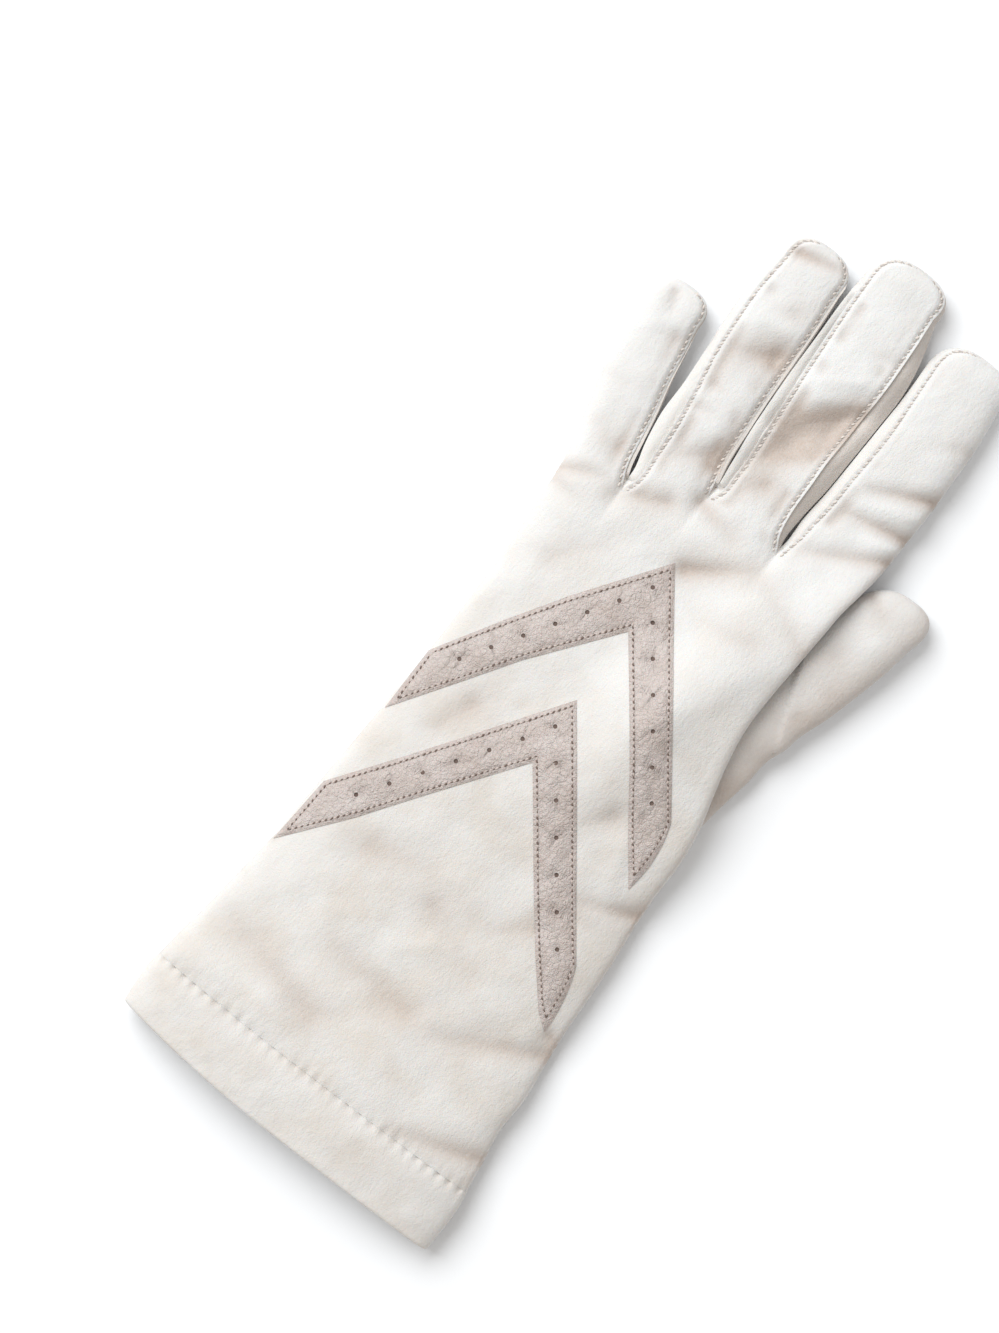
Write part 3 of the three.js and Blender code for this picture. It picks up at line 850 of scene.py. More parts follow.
def arcLength(x, y):
    return np.concatenate([[0], np.cumsum(np.hypot(np.diff(x), np.diff(y)))])


def crowded(t, crowd):
    # shares from 0 to 1, crowded at both ends
    return t - crowd * np.sin(2 * math.pi * t) / (2 * math.pi)


def columnsAcross(count, rows, crowding):
    # shares across the hand for each row
    near, far = crowding
    crowd = near + (far - near) * ramp(rows, handGrid["crowdingStart"], handGrid["crowdingEnd"])[:, None]
    return crowded(np.linspace(0, 1, count + 1)[None, :], crowd)


seam = {
    "pitch": 2.2, "inset": 1.05, "lip": 0.45, "lipWidth": 0.55, "groove": 0.5, "grooveWidth": 0.42,
    "swell": 0.25, "swellAt": 2.2, "swellWidth": 0.8, "shade": 0.31,
    "pucker": 0.6, "puckerAt": 3.8, "puckerWidth": 1.6, "puckerSize": 4.6, "puckerFrom": -0.2,
    # how the side strip starts behind the raw edge, and where the seams leave the strip's foot
    "under": 0.55, "tuck": 1.0, "tuckDepth": 0.9, "tipClear": 2.0, "footClear": 0.3, "footReach": 5,
    # the lip and groove between two needle holes, as a share of their full size
    "lipLeast": 0.65, "grooveLeast": 0.35,
    # a seam's relief starts between these lengths from the strip's foot
    "startFoot": -0.5, "fullFoot": 2.5,
    # the puckers fade out over these lengths from the fingertip, and the raw edge meets the outline
    "tipFade": (18, 7), "tipPower": 1.5, "leastAcross": 0.12,
}


def stitchWave(arc, pitch, least):
    # 1 at every needle hole and the least value between two holes
    return least + (1 - least) * (0.5 + 0.5 * np.cos(2 * math.pi * arc / pitch))


def seamRelief(distance, arc, seed):
    # raw edge, stitch groove, a small swelling and loose puckers inside a seam, and their shade
    lip = seam["lip"] * hump(distance, seam["lipWidth"])
    lip = lip * stitchWave(arc, seam["pitch"], seam["lipLeast"])
    groove = seam["groove"] * hump(distance - seam["inset"], seam["grooveWidth"])
    groove = groove * stitchWave(arc, seam["pitch"], seam["grooveLeast"])
    swell = seam["swell"] * hump(distance - seam["swellAt"], seam["swellWidth"])
    # each seam reads its own stretch of one noise
    noise = softNoise(arc + seed * 31.7, np.full_like(arc, seed * 7.3), seam["puckerSize"], 11)
    loose = np.clip(noise - seam["puckerFrom"], 0, 1)
    pucker = seam["pucker"] * hump(distance - seam["puckerAt"], seam["puckerWidth"]) * loose
    return lip + swell - groove, pucker, seam["shade"] * groove


seamLines = []           # the stitched lines on the cloth, each with its points and their places along it


def seamSide(name, side, rows, lipShare=1.0):
    # the raw edge of one side with its inward directions and its lengths
    x, y, strength = seamEdge(name, side, rows, lipShare)
    dx, dy = np.gradient(x), np.gradient(y)
    size = np.maximum(np.hypot(dx, dy), 1e-9)
    inward = 1 if side == "left" else -1
    across = np.clip(dy / size, seam["leastAcross"], 1)
    return {"rows": rows, "x": x, "y": y, "strength": strength, "arc": arcLength(x, y), "across": across,
            "nx": inward * dy / size, "ny": -inward * dx / size, "seed": fingerNames.index(name) * 2 + inward}


def between(edges, shares):
    left, right = edges["left"], edges["right"]
    return (left["x"][:, None] * (1 - shares) + right["x"][:, None] * shares,
            left["y"][:, None] * (1 - shares) + right["y"][:, None] * shares)


def fingerPatches(name, shell, sides):
    rows = fingerRows(name)
    edges = {side: seamSide(name, side, rows) for side in ("left", "right")}
    x, y = between(edges, columnsAcross(handGrid["backColumns"], rows, handGrid["backCrowding"]))
    z = handBack(x, y)
    # painted shade in the fold valleys, darker where they are deeper
    paintedShade = np.clip(foldDepth(folds, x, y) / foldForm["fullShade"], 0, 1)
    for side, edge in edges.items():
        if stripBeside(name, side) is None:
            continue
        distance = np.hypot(x - edge["x"][:, None], y - edge["y"][:, None]) * edge["across"][:, None]
        arc = np.broadcast_to(edge["arc"][:, None], x.shape)
        relief, pucker, shade = seamRelief(distance, arc, edge["seed"])
        fadeStart, fadeEnd = seam["tipFade"]
        pucker = pucker * (1 - ramp(rows, rows[-1] - fadeStart, rows[-1] - fadeEnd))[:, None]
        z = z + (relief - pucker) * edge["strength"][:, None]
        # painted shade in each seam's stitch groove and its puckers
        paintedShade = np.clip(paintedShade + (pucker + shade) * edge["strength"][:, None], 0, 1)
        collectSeam(name, side, rows, edge)
    last = rows == rows[-1]
    z[last] = edgeLine(name, x[last], y[last])
    # painted shade along the hand's outline on the thumb side
    rim = handGrid["rimShade"] * hump(x - outerEdge("right", y), handGrid["rimWidth"])
    rim = rim * ramp(y, *handGrid["rimStart"]) * (1 - ramp(y, *handGrid["rimEnd"]))
    shell.grid(x, y, z, np.clip(paintedShade + rim, 0, 1))

    bottom = {side: seamSide(name, side, rows, handGrid["underLip"]) for side in ("left", "right")}
    x, y = between(bottom, columnsAcross(handGrid["underColumns"], rows, handGrid["underCrowding"]))
    z = handUnder(x, y)
    z[last] = edgeLine(name, x[last], y[last])
    shell.grid(x, y, z, flip=True)

    for side in ("left", "right"):
        strip = stripBeside(name, side)
        if strip is None:
            continue
        patches = sides[strip["node"]]
        sidePatch(name, side, strip, edges[side], patches, True)
        sidePatch(name, side, strip, bottom[side], patches, False)


def collectSeam(name, side, rows, edge):
    # the stitched line on the back, inside the raw edge and round the fingertip
    x = edge["x"] + edge["nx"] * seam["inset"]
    y = edge["y"] + edge["ny"] * seam["inset"]
    left, right, _, _ = fingerEdges(name, rows)
    inward = 1 if side == "left" else -1
    pastFoot = rows > stripBeside(name, side)["foot"] + seam["footClear"]
    kept = pastFoot & (((left + right) / 2 - x) * inward > seam["tipClear"])
    relief, _, _ = seamRelief(np.full_like(x, seam["inset"]), edge["arc"], edge["seed"])
    z = handBack(x, y) + relief * edge["strength"]
    seamLines.append({"points": np.stack([x, y, z], axis=-1)[kept], "arc": edge["arc"][kept]})


def sheetSlope(sheetAt, x, y):
    step = 0.15
    slopeX = (sheetAt(x + step, y) - sheetAt(x - step, y)) / (2 * step)
    slopeY = (sheetAt(x, y + step) - sheetAt(x, y - step)) / (2 * step)
    steepest = 2.2
    return np.clip(slopeX, -steepest, steepest), np.clip(slopeY, -steepest, steepest)


def behindSheet(sheetAt, x, y, depth):
    # points that lie behind a sheet by the depth, square to it
    slopeX, slopeY = sheetSlope(sheetAt, x, y)
    shift = depth / np.sqrt(1 + slopeX**2 + slopeY**2)
    return x + slopeX * shift, y + slopeY * shift, sheetAt(x, y) - shift


sideForm = {
    "touching": 0.8, "pressStart": -1, "pressEnd": 0.5, "footBlend": 3, "bulge": 0.16,
    "uneven": [(0.12, 4.0, 61)], "leftShade": 0.22, "rightShade": 0.8, "shadeReach": 4,
}


def sidePatch(name, side, strip, edge, patches, isBack):
    # from under a seam's raw edge out to the finger's outline, or below the crotch to the valley's line
    used = edge["rows"] >= strip["foot"]
    rows, edgeX, edgeY, nx, ny = (edge[key][used] for key in ("rows", "x", "y", "nx", "ny"))
    outline = fingerOutline(name, side, rows)
    beside, facing = (strip["from"], "right") if side == "left" else (strip["to"], "left")
    other = fingerOutline(beside, facing, rows)
    web = rows < strip["crotch"]
    outline = np.where(web, (outline + other) / 2, outline)
    # where two fingers touch, their strips are pressed up between them
    close = 1 - ramp(np.abs(other - outline), sideForm["touching"], strip["reach"])
    crotch = strip["crotch"]
    pressed = ramp(rows, crotch + sideForm["pressStart"], crotch + sideForm["pressEnd"])
    pressed = strip["raise"] * close * pressed
    sheetAt, turn = (handBack, 1) if isBack else (handUnder, -1)
    strength = ramp(rows, strip["foot"], strip["foot"] + sideForm["footBlend"])
    tuck, tuckDepth, under = (seam[key] * strength for key in ("tuck", "tuckDepth", "under"))
    tuckX, tuckY, tuckZ = behindSheet(sheetAt, edgeX + nx * tuck, edgeY + ny * tuck, turn * tuckDepth)
    startX, startY, startZ = behindSheet(sheetAt, edgeX, edgeY, turn * under)
    outlineZ = np.where(web, sheetAt(outline, rows), edgeLine(name, outline, rows) + pressed)
    bulge = turn * sideForm["bulge"] * np.hypot(outline - edgeX, rows - edgeY)
    t = np.linspace(0, 1, handGrid["sideColumns"] + 1)[None, :]
    x = startX[:, None] * (1 - t) + outline[:, None] * t
    y = startY[:, None] * (1 - t) + rows[:, None] * t
    rounded = (bulge[:, None] + unevenness(x, y, sideForm["uneven"])) * np.sin(math.pi * t)
    z = startZ[:, None] * (1 - t) + outlineZ[:, None] * t + rounded
    # painted shade: the sides that face the thumb, turned from the light, are darker than those that
    # face the little finger, which are shaded only in their half next to the seam
    if side == "left":
        tint = sideForm["leftShade"] * (1 - ramp(t, 0, 0.5))
    else:
        tint = np.full_like(t, sideForm["rightShade"])
    paintedShade = tint * ramp(rows, strip["foot"], strip["foot"] + sideForm["shadeReach"])[:, None]
    columns = [np.concatenate([first[:, None], rest], axis=1)
               for first, rest in ((tuckX, x), (tuckY, y), (tuckZ, z), (paintedShade[:, 0], paintedShade))]
    if side == "left":
        columns = [values[:, ::-1] for values in columns]
    patches.grid(*columns, flip=not isBack)


def makeHand():
    shell = Patchwork()
    sides = {strip["node"]: Patchwork() for strip in strips}
    for name in fingerNames:
        fingerPatches(name, shell, sides)
    piece = shell.build("hand_cloth", materials["cloth"])
    giveWall(piece, handGrid["wall"])
    adopt(piece, "cloth", "hand_shell")
    for node, patches in sides.items():
        piece = patches.build(node.replace("fourchette", "side_strip"), materials["sideCloth"])
        giveWall(piece, handGrid["sideWall"])
        adopt(piece, "cloth", node)


makeHand()

# Thumb

thumb = {
    "tip": (54.2, 93.6),
    "rows": table("y left right high",
                  (-14, 21.5, 39.4, 4.0), (-11, 19.0, 40.6, 4.8), (-1, 15.4, 43.6, 6.5),
                  (9, 15.6, 44.8, 7.8), (19, 18.0, 46.2, 8.9), (28, 21.2, 47.8, 9.7),
                  (37, 25.2, 48.9, 10.0), (41, 26.8, 50.6, 10.0), (46, 28.8, 51.6, 10.0),
                  (55, 32.2, 54.8, 10.0), (64, 35.0, 57.3, 10.0), (73, 37.6, 59.6, 10.0),
                  (82, 40.2, 61.2, 9.7)),
    "step": 0.8, "tipRows": 16, "backColumns": 46, "underColumns": 22, "crowding": 0.75,
    "wall": 0.8, "clear": 0.15, "lowest": 0.2, "ceilingGap": 0.2,
    "uneven": [(0.3, 11, 21), (0.14, 5, 22)], "underUneven": [(0.2, 12, 23)], "underRise": 0.2,
    "fade": 3.0,
    # the gusset's edge, with the thumb's cloth lying over the lower side
    "crease": [(40.0, 61.0), (41.6, 56.8), (43.9, 50.8), (45.7, 45.4), (49.3, 37.6)],
    "creaseStep": 1.0, "creaseRamp": (-0.35, 0.45), "creaseReach": (1.5, 16), "creaseStart": (22, 34),
    # painted shade on the thumb: darker towards its right side, a little over all of it, and more on the
    # gusset
    "rim": 0.34, "warmShade": 0.22, "gussetWarmShade": 0.05, "gussetStart": (10, 30),
}
thumbFolds = [
    (50, 60, 57, 58, 0.5, 3.6), (44, 24, 47, 14, 0.7, 3.2), (46, 69, 52, 66, 0.5, 4.0),
    (48, 50, 53, 52, 0.6, 3.0), (53, 78, 60, 80, -0.5, 4.0), (44, 88, 51, 84, 0.9, 2.0),
]


def creaseSide(x, y):
    # signed distance from the gusset's edge, positive on its lower side
    best = np.full(x.shape, 1e9)
    signed = np.zeros(x.shape)
    for (x1, y1), (x2, y2) in zip(thumb["crease"], thumb["crease"][1:]):
        _, away = toSegment(x, y, x1, y1, x2, y2)
        side = np.sign((y - y1) * (x2 - x1) - (x - x1) * (y2 - y1))
        closer = away < best
        signed = np.where(closer, -side * away, signed)
        best = np.minimum(best, away)
    return signed


def thumbBack(patches, x, y, back, edge, ceiling, acrossShare):
    signed = creaseSide(x, y)
    step = thumb["creaseStep"] * ramp(signed, *thumb["creaseRamp"])
    step = step * (1 - ramp(signed, *thumb["creaseReach"])) * ramp(y, *thumb["creaseStart"])
    inside = np.clip((back - edge) / thumb["fade"], 0, 1)
    dents = foldDepth(thumbFolds, x, y)
    z = back + inside * (unevenness(x, y, thumb["uneven"]) - dents - step)
    z = np.maximum(np.minimum(z, ceiling), thumb["lowest"])
    # painted shade from the thumb's dents, its side turned from the light, and the gusset under the hand's
    # edge
    rim = thumb["rim"] * ramp(acrossShare, 0.1, 0.9)
    warmShade = thumb["warmShade"] + thumb["gussetWarmShade"] * ramp(signed, -1, 1) * ramp(y, *thumb["gussetStart"])
    patches.grid(x, y, z, np.clip(inside * dents / foldForm["fullShade"] + rim + warmShade, 0, 1))


def thumbUnder(patches, x, y, under, edge, ceiling):
    raised = thumb["underRise"] + unevenness(x, y, thumb["underUneven"])
    z = under + np.clip((edge - under) / clothForm["underFade"], 0, 1) * raised
    z = np.minimum(z, np.maximum(ceiling - thumb["ceilingGap"], 0.0))
    patches.grid(x, y, z, flip=True)


def makeThumb():
    straight = np.arange(thumb["rows"]["y"][0], thumb["rows"]["y"][-1], thumb["step"])
    rows = np.concatenate([straight, rowsOverTip(thumb, thumb["tipRows"])])
    left, right = along(thumb["rows"], "left", rows), along(thumb["rows"], "right", rows)
    left, right, high, scale = (column[:, None] for column in roundedEdges(thumb, left, right, rows))
    patches = Patchwork()
    for columns, isBack in ((thumb["backColumns"], True), (thumb["underColumns"], False)):
        x = left + (right - left) * crowded(np.linspace(0, 1, columns + 1)[None, :], thumb["crowding"])
        y = np.broadcast_to(rows[:, None], x.shape).copy()
        farOff = np.full_like(x, -99.0)      # a y at which the hand has no lift
        back, under, edge = sheets(left, right, high, scale, x, farOff)
        # the thumb stays below the hand where the hand covers it
        ceiling = np.where(x < outerEdge("right", y), handUnder(x, y) - thumb["clear"], 99.0)
        if isBack:
            acrossShare = (x - (left + right) / 2) / np.maximum((right - left) / 2, 0.1)
            thumbBack(patches, x, y, back, edge, ceiling, acrossShare)
        else:
            thumbUnder(patches, x, y, under, edge, ceiling)
    piece = patches.build("thumb_cloth", materials["cloth"])
    giveWall(piece, thumb["wall"])
    adopt(piece, "cloth", "thumb")


makeThumb()

# Hem

hem = {
    "rows": table("y left right high", (-121.8, -50.0, 54.2, 12.5), (-112, -50.6, 54.5, 13.3),
                  (-106, -50.5, 54.2, 13.1), (-103.3, -50.0, 53.6, 12.3)),
    "edge": -121.8, "wall": 1.7, "step": 0.6, "backColumns": 220, "underColumns": 90, "crowding": 0.8,
    "underRise": 0.15, "turnRows": 9, "innerRows": 14, "shade": 0.42,
}


def hemRing(y, inset, waves):
    # one closed section of the hem, set in from its outside by the depth of a layer
    left, right, high = (along(hem["rows"], name, np.array([y]))[0] for name in ("left", "right", "high"))
    halves = []
    for columns, isBack in ((hem["backColumns"], True), (hem["underColumns"], False)):
        t = crowded(np.linspace(0, 1, columns + 1), hem["crowding"])
        x = left + inset + (right - left - 2 * inset) * t
        rows = np.full_like(x, y)
        back, under, edge = sheets(left + inset, right - inset, high - inset, 1.0, x, rows)
        if isBack:
            inside = np.clip((back - edge) / clothForm["backFade"], 0, 1)
            z = back + inside * (waves * backRelief(x, rows) - hemDimples(x, rows))
            halves.append((x[:-1], z[:-1]))
        else:
            z = np.maximum(under, inset) + hem["underRise"] * np.clip((edge - under) / 2, 0, 1)
            halves.append((x[::-1][:-1], z[::-1][:-1]))
    x = np.concatenate([half[0] for half in halves])
    z = np.concatenate([half[1] for half in halves])
    return np.append(x, x[0]), np.append(z, z[0])


def makeHem():
    # out along the hem, round its turned edge, back inside it and shut behind the stitches: each
    # section has its y, its inset and the share of the cloth's folds that it takes
    radius = hem["wall"] / 2
    foldStart = hem["edge"] + radius
    stations = [(y, 0.0, 1.0) for y in np.arange(hemStitch["y"], foldStart, -hem["step"])]
    for turn in np.linspace(0, math.pi, hem["turnRows"]):
        stations.append((foldStart - radius * math.sin(turn), radius - radius * math.cos(turn), 0.9))
    innerRows = np.linspace(foldStart + 0.8, hemStitch["y"] - hem["step"], hem["innerRows"])
    stations += [(y, hem["wall"], 0.7) for y in innerRows]
    stations += [(hemStitch["y"], radius, 1.0), stations[0]]
    rings = [hemRing(*station) for station in stations]
    x = np.stack([ring[0] for ring in rings])
    z = np.stack([ring[1] for ring in rings])
    y = np.repeat(np.array([station[0] for station in stations])[:, None], x.shape[1], axis=1)
    patches = Patchwork()
    # painted shade in the hem's stitch dimples
    patches.grid(x, y, z, np.clip(hem["shade"] * hemDimples(x, y), 0, 1), flip=True)
    piece = patches.build("hem_cloth", materials["cloth"])
    adopt(piece, "cloth", "cuff_hem")


makeHem()

# Leather chevrons

leather = {
    "thick": 0.5, "clear": 0.12, "leastRise": 0.2, "width": 10.2, "legStations": 150, "acrossColumns": 28,
    "crowding": 0.35, "stitchInset": 1.1, "stitchPitch": 1.65, "endShare": 0.54,
    "groove": 0.26, "grooveWidth": 0.4, "rounded": 0.42, "roundedReach": 0.9, "pillow": 0.22,
    "slanted": 0.13, "slantedRight": 0.17, "uneven": [(0.09, 1.2, 1), (0.2, 4.5, 2)],
    # how far in from the edge the soft middle and the wrinkles start and are full
    "pillowReach": (1.2, 3.2), "wrinkleReach": (0.2, 2.0),
    "grooveLeast": 0.45, "grooveShade": 0.8, "edgeShade": 0.5,
}
holes = {
    "radius": 0.6, "depth": 0.26, "perLeg": 6, "clearance": 1.1, "sides": 14, "punchLength": 4.0,
    "dimple": 0.24, "dimpleWidth": 1.2, "dimpleShade": 0.35,
    "ray": 0.40, "rayAt": 1.7, "rayWidth": 1.8, "rayShade": 0.42,
}
chevrons = {
    "upper_chevron": {
        "outer": [(-41.3, 5.5), (-30, 24), (-20, 39.6), (-3, 63.3), (20, 31.2), (30, 17.8), (37.5, 7.6)],
        "inner": [(-41.4, -13.6), (-30, 3.2), (-20, 18.2), (-2, 41.3), (20, 12.4), (30, -1.3),
                  (39.2, -13.2)],
        "endBow": 1.5, "seed": 41,
        "apexHole": (-3.8, 54.5),
        "leftHoles": ((-8.8, 46.4), (-33.3, 8.6)),
        "rightHoles": ((1.8, 47.0), (30.2, 8.7)),
    },
    "lower_chevron": {
        "outer": [(-42.6, -39.0), (-30, -21.6), (-20, -7.4), (-2, 18.6), (20, -10.6), (30, -24.0),
                  (40.5, -37.9)],
        "inner": [(-44.2, -59.3), (-30, -41.4), (-20, -27.2), (-1.4, -1.6), (20, -29.4), (30, -42.0),
                  (39.8, -53.6), (44.3, -56.9)],
        "endBow": 1.0, "seed": 53,
        "apexHole": (-2.3, 9.6),
        "leftHoles": ((-7.2, 1.8), (-33.5, -36.6)),
        "rightHoles": ((3.6, 2.0), (33.7, -37.3)),
    },
}
apexPoint = 3            # the place of the apex in the lists of outer and inner points


def pathAt(points, shares):
    points = np.array(points, float)
    arc = arcLength(points[:, 0], points[:, 1])
    arc = arc / arc[-1]
    return np.interp(shares, arc, points[:, 0]), np.interp(shares, arc, points[:, 1])


def legGrid(chevron):
    # cross lines from the inner to the outer edge, along one leg and then the other
    shares = np.linspace(0, 1, leather["legStations"] + 1)
    lines = {}
    for edge in ("inner", "outer"):
        points = chevron[edge]
        leftX, leftY = pathAt(points[:apexPoint + 1], shares)
        rightX, rightY = pathAt(points[apexPoint:], shares)
        lines[edge] = np.concatenate([leftX, rightX[1:]]), np.concatenate([leftY, rightY[1:]])
    t = crowded(np.linspace(0, 1, leather["acrossColumns"] + 1)[None, :], leather["crowding"])
    bow = np.concatenate([np.zeros(len(shares) - 1), shares**8])[:, None] * chevron["endBow"]
    x = lines["inner"][0][:, None] * (1 - t) + lines["outer"][0][:, None] * t + bow * 4 * t * (1 - t)
    y = lines["inner"][1][:, None] * (1 - t) + lines["outer"][1][:, None] * t
    return x, y, t


def holePlaces(chevron):
    places = [chevron["apexHole"]]
    for (x1, y1), (x2, y2) in (chevron["leftHoles"], chevron["rightHoles"]):
        for share in np.linspace(0, 1, holes["perLeg"]):
            places.append((x1 + (x2 - x1) * share, y1 + (y2 - y1) * share))
    return places


edgeLines = []           # the stitched lines on the leather


def leatherWrinkles(chevron, x, y):
    # fine wrinkles that slant along each leg, deeper on the right leg, and two plainer layers
    slope = np.where(x > -3, 0.5, -0.5)
    slanted = softNoise(x * 0.55 + y * slope, y * 0.55 - x * slope, 1.9, chevron["seed"])
    slanted = slanted * (leather["slanted"] + leather["slantedRight"] * ramp(x, -4, 6))
    layers = [(height, size, chevron["seed"] + number) for height, size, number in leather["uneven"]]
    return slanted + unevenness(x, y, layers)


def chevronRelief(chevron, x, y, fromEdge, arc):
    # the stitch groove, the rounded edge, the soft middle, the wrinkles, and the dimple at each hole
    # with creases running out from it; and the painted shade that these get
    groove = leather["groove"] * hump(fromEdge - leather["stitchInset"], leather["grooveWidth"])
    groove = groove * stitchWave(arc, leather["stitchPitch"], leather["grooveLeast"])
    rounded = leather["rounded"] * (1 - ramp(fromEdge, 0, leather["roundedReach"]))
    pillow = leather["pillow"] * ramp(fromEdge, *leather["pillowReach"])
    wrinkles = leatherWrinkles(chevron, x, y) * ramp(fromEdge, *leather["wrinkleReach"])
    relief = pillow - groove - rounded + wrinkles
    shade = leather["grooveShade"] * groove + leather["edgeShade"] * rounded
    for number, (holeX, holeY) in enumerate(holePlaces(chevron)):
        away = np.hypot(x - holeX, y - holeY)
        angle = np.arctan2(y - holeY, x - holeX)
        rays = np.clip(np.cos(2.5 * angle + number * 1.7 + np.cos(angle * 2 + number)), 0, 1) ** 5
        relief = relief - holes["dimple"] * hump(away, holes["dimpleWidth"])
        relief = relief - holes["ray"] * rays * hump(away - holes["rayAt"], holes["rayWidth"])
        shade = shade + holes["dimpleShade"] * hump(away, 1.0)
        shade = shade + holes["rayShade"] * rays * hump(away - 1.4, 1.6)
    return relief, shade


def makeChevron(name, chevron):
    x, y, t = legGrid(chevron)
    middle = x.shape[1] // 2
    arc = arcLength(x[:, middle], y[:, middle])
    fromEnd = np.minimum(arc, arc[-1] - arc)[:, None] * leather["endShare"]
    fromEdge = np.minimum(np.minimum(t, 1 - t) * leather["width"], fromEnd)
    relief, shade = chevronRelief(chevron, x, y, fromEdge, np.broadcast_to(arc[:, None], x.shape))
    # the leather never dips into the cloth, and stands higher at a hole, to keep its pit clear of it
    nearHole = sum(hump(np.hypot(x - holeX, y - holeY), holes["clearance"])
                   for holeX, holeY in holePlaces(chevron))
    least = leather["leastRise"] + holes["depth"] * np.minimum(nearHole, 1)
    rise = np.maximum(leather["clear"] + leather["thick"] + relief, least)
    baseX, baseY = x, y
    for _ in range(3):
        slopeX, slopeY = sheetSlope(handBack, baseX, baseY)
        shift = rise / np.sqrt(1 + slopeX**2 + slopeY**2)
        baseX, baseY = x + slopeX * shift, y + slopeY * shift
    z = handBack(baseX, baseY) + shift
    patches = Patchwork()
    patches.grid(x, y, z, np.clip(shade, 0, 1), flip=True)
    surfacePoints = np.stack([x, y, z], axis=-1)
    inset = leather["stitchInset"]
    firstColumn = int(np.argmin(np.abs(t[0] - inset / leather["width"])))
    lastColumn = int(np.argmin(np.abs(t[0] - 1 + inset / leather["width"])))
    kept = np.nonzero(fromEnd[:, 0] > inset)[0]
    for column in (firstColumn, lastColumn):
        edgeLines.append({"points": surfacePoints[kept, column], "arc": arc[kept]})
    for row in (kept[0], kept[-1]):
        points = surfacePoints[row, firstColumn + 1:lastColumn]
        edgeLines.append({"points": points, "arc": arcLength(points[:, 0], points[:, 1])})
    piece = patches.build(name.replace("chevron", "leather_strip"), materials["leather"])
    giveWall(piece, leather["thick"])
    cutHoles(piece, chevron, surfacePoints.reshape(-1, 3))
    adopt(piece, "leather", name)


def punchTree():
    # an upright punch on each place
    start, given = newTree("punches", [("Radius", "Float"), ("Length", "Float")])
    sizes = {"Vertices": holes["sides"], "Radius": given["Radius"], "Depth": given["Length"]}
    punch = start.node("GeometryNodeMeshCylinder", None, sizes)
    turned = (0, 0, math.pi / 2)
    placed = start.node("GeometryNodeInstanceOnPoints", None,
                        {"Points": given["Places"], "Instance": punch, "Rotation": turned})
    return endTree(placed, given)


punchNodes = punchTree()


def cutHoles(piece, chevron, surfacePoints):
    # each punched hole is a pit that stops just short of the leather's underside, with walls and bottom
    # painted dark as the shadow inside the hole
    holeX, holeY = np.array(holePlaces(chevron)).T
    away = np.hypot(surfacePoints[:, 0] - holeX[:, None], surfacePoints[:, 1] - holeY[:, None])
    bottom = surfacePoints[np.argmin(away, axis=1), 2] - holes["depth"]
    middles = toFrame(holeX, holeY, bottom + holes["punchLength"] / 2)
    sizes = {"Radius": holes["radius"] * millimetre, "Length": holes["punchLength"] * millimetre}
    punches = onPlaces("punches", punchNodes, middles, {}, "leatherHoleShadow", sizes)
    cut = piece.modifiers.new("holes", "BOOLEAN")
    cut.operation = "DIFFERENCE"
    cut.solver = "MANIFOLD"
    cut.material_mode = "TRANSFER"
    cut.object = punches
    applyModifiers(piece)
    bpy.data.objects.remove(punches)


for chevronName, chevronShape in chevrons.items():
    makeChevron(chevronName, chevronShape)

# Stitches

bead = {"segments": 8, "rings": 5, "turn": 0.2, "smallest": 0.75, "largest": 1.2}


def stitchTree():
    # a bead on each place, turned along its row and outward from the surface
    numbers = [(name, "Float") for name in ("Length", "Width", "Height", "Sink", "Slant")]
    start, given = newTree("stitches", numbers + [("Seed", "Int")])

    def direction(name):
        return start.node("GeometryNodeInputNamedAttribute", {"data_type": "FLOAT_VECTOR"}, {"Name": name})

    def randomBetween(low, high):
        return start.node("FunctionNodeRandomValue", {"data_type": "FLOAT"},
                          {2: low, 3: high, "Seed": given["Seed"]}, 1)

    size = start.node("ShaderNodeCombineXYZ", None,
                      {"X": given["Length"], "Y": given["Width"], "Z": given["Height"]})
    down = start.node("ShaderNodeCombineXYZ", None, {"Z": 0 - given["Sink"]})
    ball = start.node("GeometryNodeMeshUVSphere", None,
                      {"Segments": bead["segments"], "Rings": bead["rings"], "Radius": 0.5})
    ball = start.node("GeometryNodeTransform", None, {"Geometry": ball, "Scale": size, "Translation": down})
    ball = start.node("GeometryNodeSetShadeSmooth", None, {"Geometry": ball})
    turn = start.node("FunctionNodeAlignRotationToVector", {"axis": "Z"}, {"Vector": direction("outward")})
    turn = start.node("FunctionNodeAlignRotationToVector", {"axis": "X", "pivot_axis": "Z"},
                      {"Rotation": turn, "Vector": direction("along")})
    jitter = randomBetween(-bead["turn"], bead["turn"])
    slanted = start.node("ShaderNodeCombineXYZ", None, {"Z": given["Slant"] + jitter})
    slanted = start.node("FunctionNodeEulerToRotation", None, {"Euler": slanted})
    turn = start.node("FunctionNodeRotateRotation", {"rotation_space": "LOCAL"},
                      {"Rotation": turn, "Rotate By": slanted})
    scale = randomBetween(bead["smallest"], bead["largest"])
    placed = start.node("GeometryNodeInstanceOnPoints", None,
                        {"Points": given["Places"], "Instance": ball, "Rotation": turn, "Scale": scale})
    return endTree(placed, given)


stitchNodes = stitchTree()


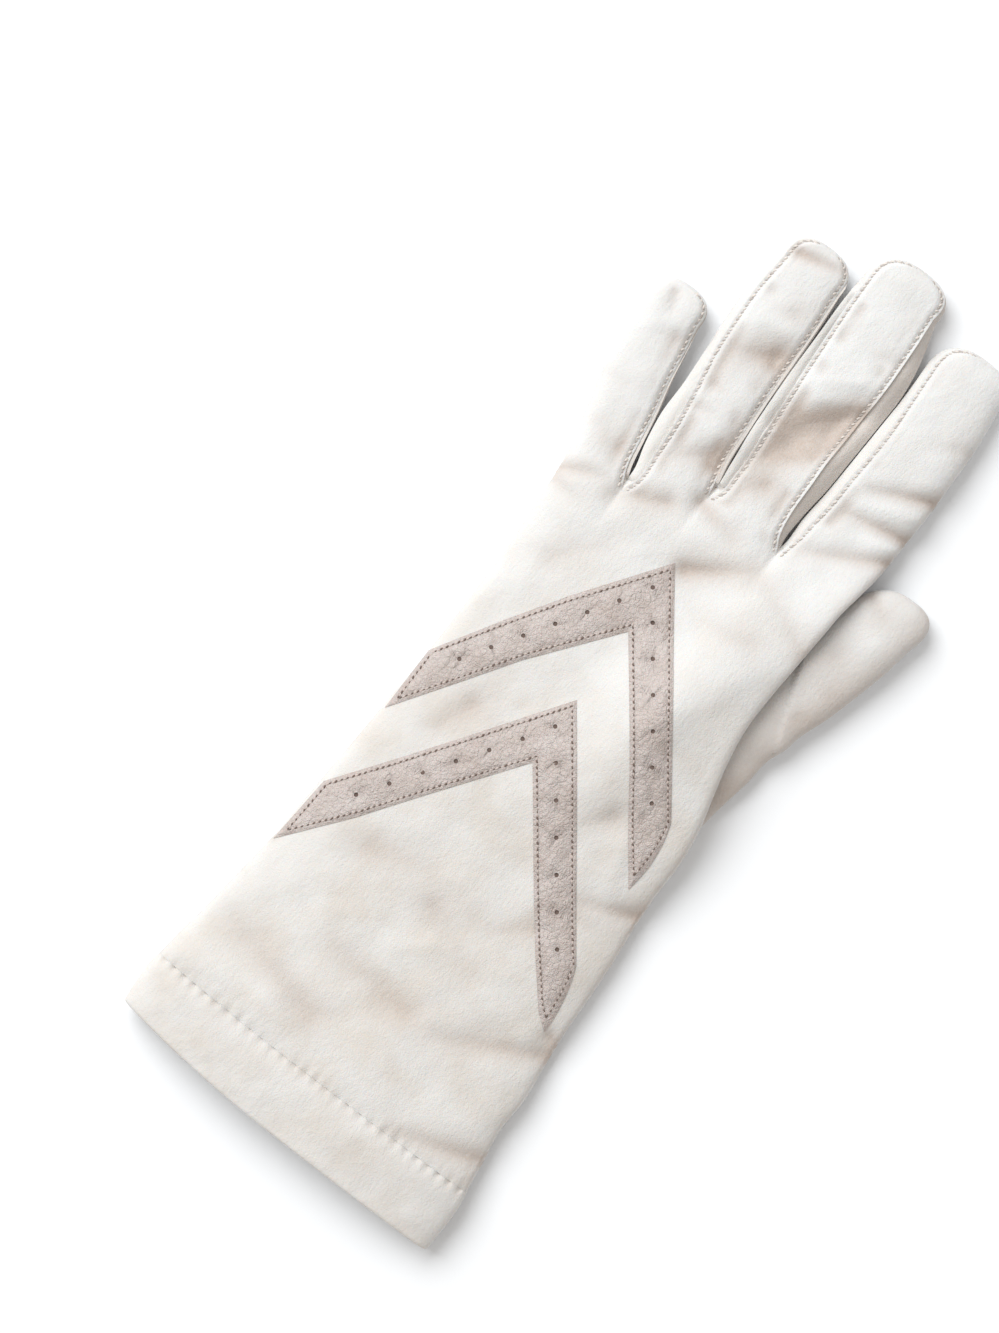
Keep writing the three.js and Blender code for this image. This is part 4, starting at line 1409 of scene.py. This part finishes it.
def stitchRows(name, slot, lines, pitch, offset, finish, sizes):
    # a stitch at every pitch along each line, moved on from the needle's place by the offset
    places, outward, ahead = [], [], []
    for line in lines:
        arc, points = line["arc"], line["points"]
        first = math.ceil(arc[0] / pitch - offset)
        at = (np.arange(first, arc[-1] / pitch - offset) + offset) * pitch
        spot = np.stack([np.interp(at, arc, points[:, axis]) for axis in range(3)], axis=-1)
        onward = np.stack([np.interp(at + 0.3, arc, points[:, axis]) for axis in range(3)], axis=-1)
        slopeX, slopeY = sheetSlope(handBack, spot[:, 0], spot[:, 1])
        places.append(toFrame(spot[:, 0], spot[:, 1], spot[:, 2]))
        outward.append(np.stack([-slopeX, -slopeY, np.ones(len(at))], axis=-1))
        ahead.append(onward - spot + np.array([1e-6, 0, 0]))
    vectors = {"outward": np.concatenate(outward), "along": np.concatenate(ahead)}
    adopt(onPlaces(name, stitchNodes, np.concatenate(places), vectors, finish, sizes), slot)


# Each row of stitches has its name and slot, its lines with their pitch, how far it lies on from the
# needle's holes as a share of the pitch, its material, and its sizes in metres with a slant in radians.
stitches = [
    # tan-grey beads at the needle holes, painted shadow of the holes
    ("cloth_needle_hole_shadows", "cloth", seamLines, seam["pitch"], 0.0, "clothNeedleShadow",
     {"Length": 0.0014, "Width": 0.00065, "Height": 0.0005, "Sink": -0.00012, "Slant": -0.75, "Seed": 4}),
    ("cloth_thread", "cloth", seamLines, seam["pitch"], 0.5, "thread",
     {"Length": 0.0012, "Width": 0.0006, "Height": 0.0004, "Sink": -0.00018, "Slant": -0.6, "Seed": 3}),
    # dark beads at the needle holes, painted shadow of the holes
    ("leather_needle_hole_shadows", "leather", edgeLines, leather["stitchPitch"], 0.0, "leatherHoleShadow",
     {"Length": 0.0009, "Width": 0.0005, "Height": 0.0005, "Sink": -0.00006, "Slant": 0.3, "Seed": 6}),
    ("leather_thread", "leather", edgeLines, leather["stitchPitch"], 0.5, "leatherThread",
     {"Length": 0.0010, "Width": 0.00045, "Height": 0.0004, "Sink": 0.0, "Slant": 0.0, "Seed": 5}),
]
for stitchRow in stitches:
    stitchRows(*stitchRow)
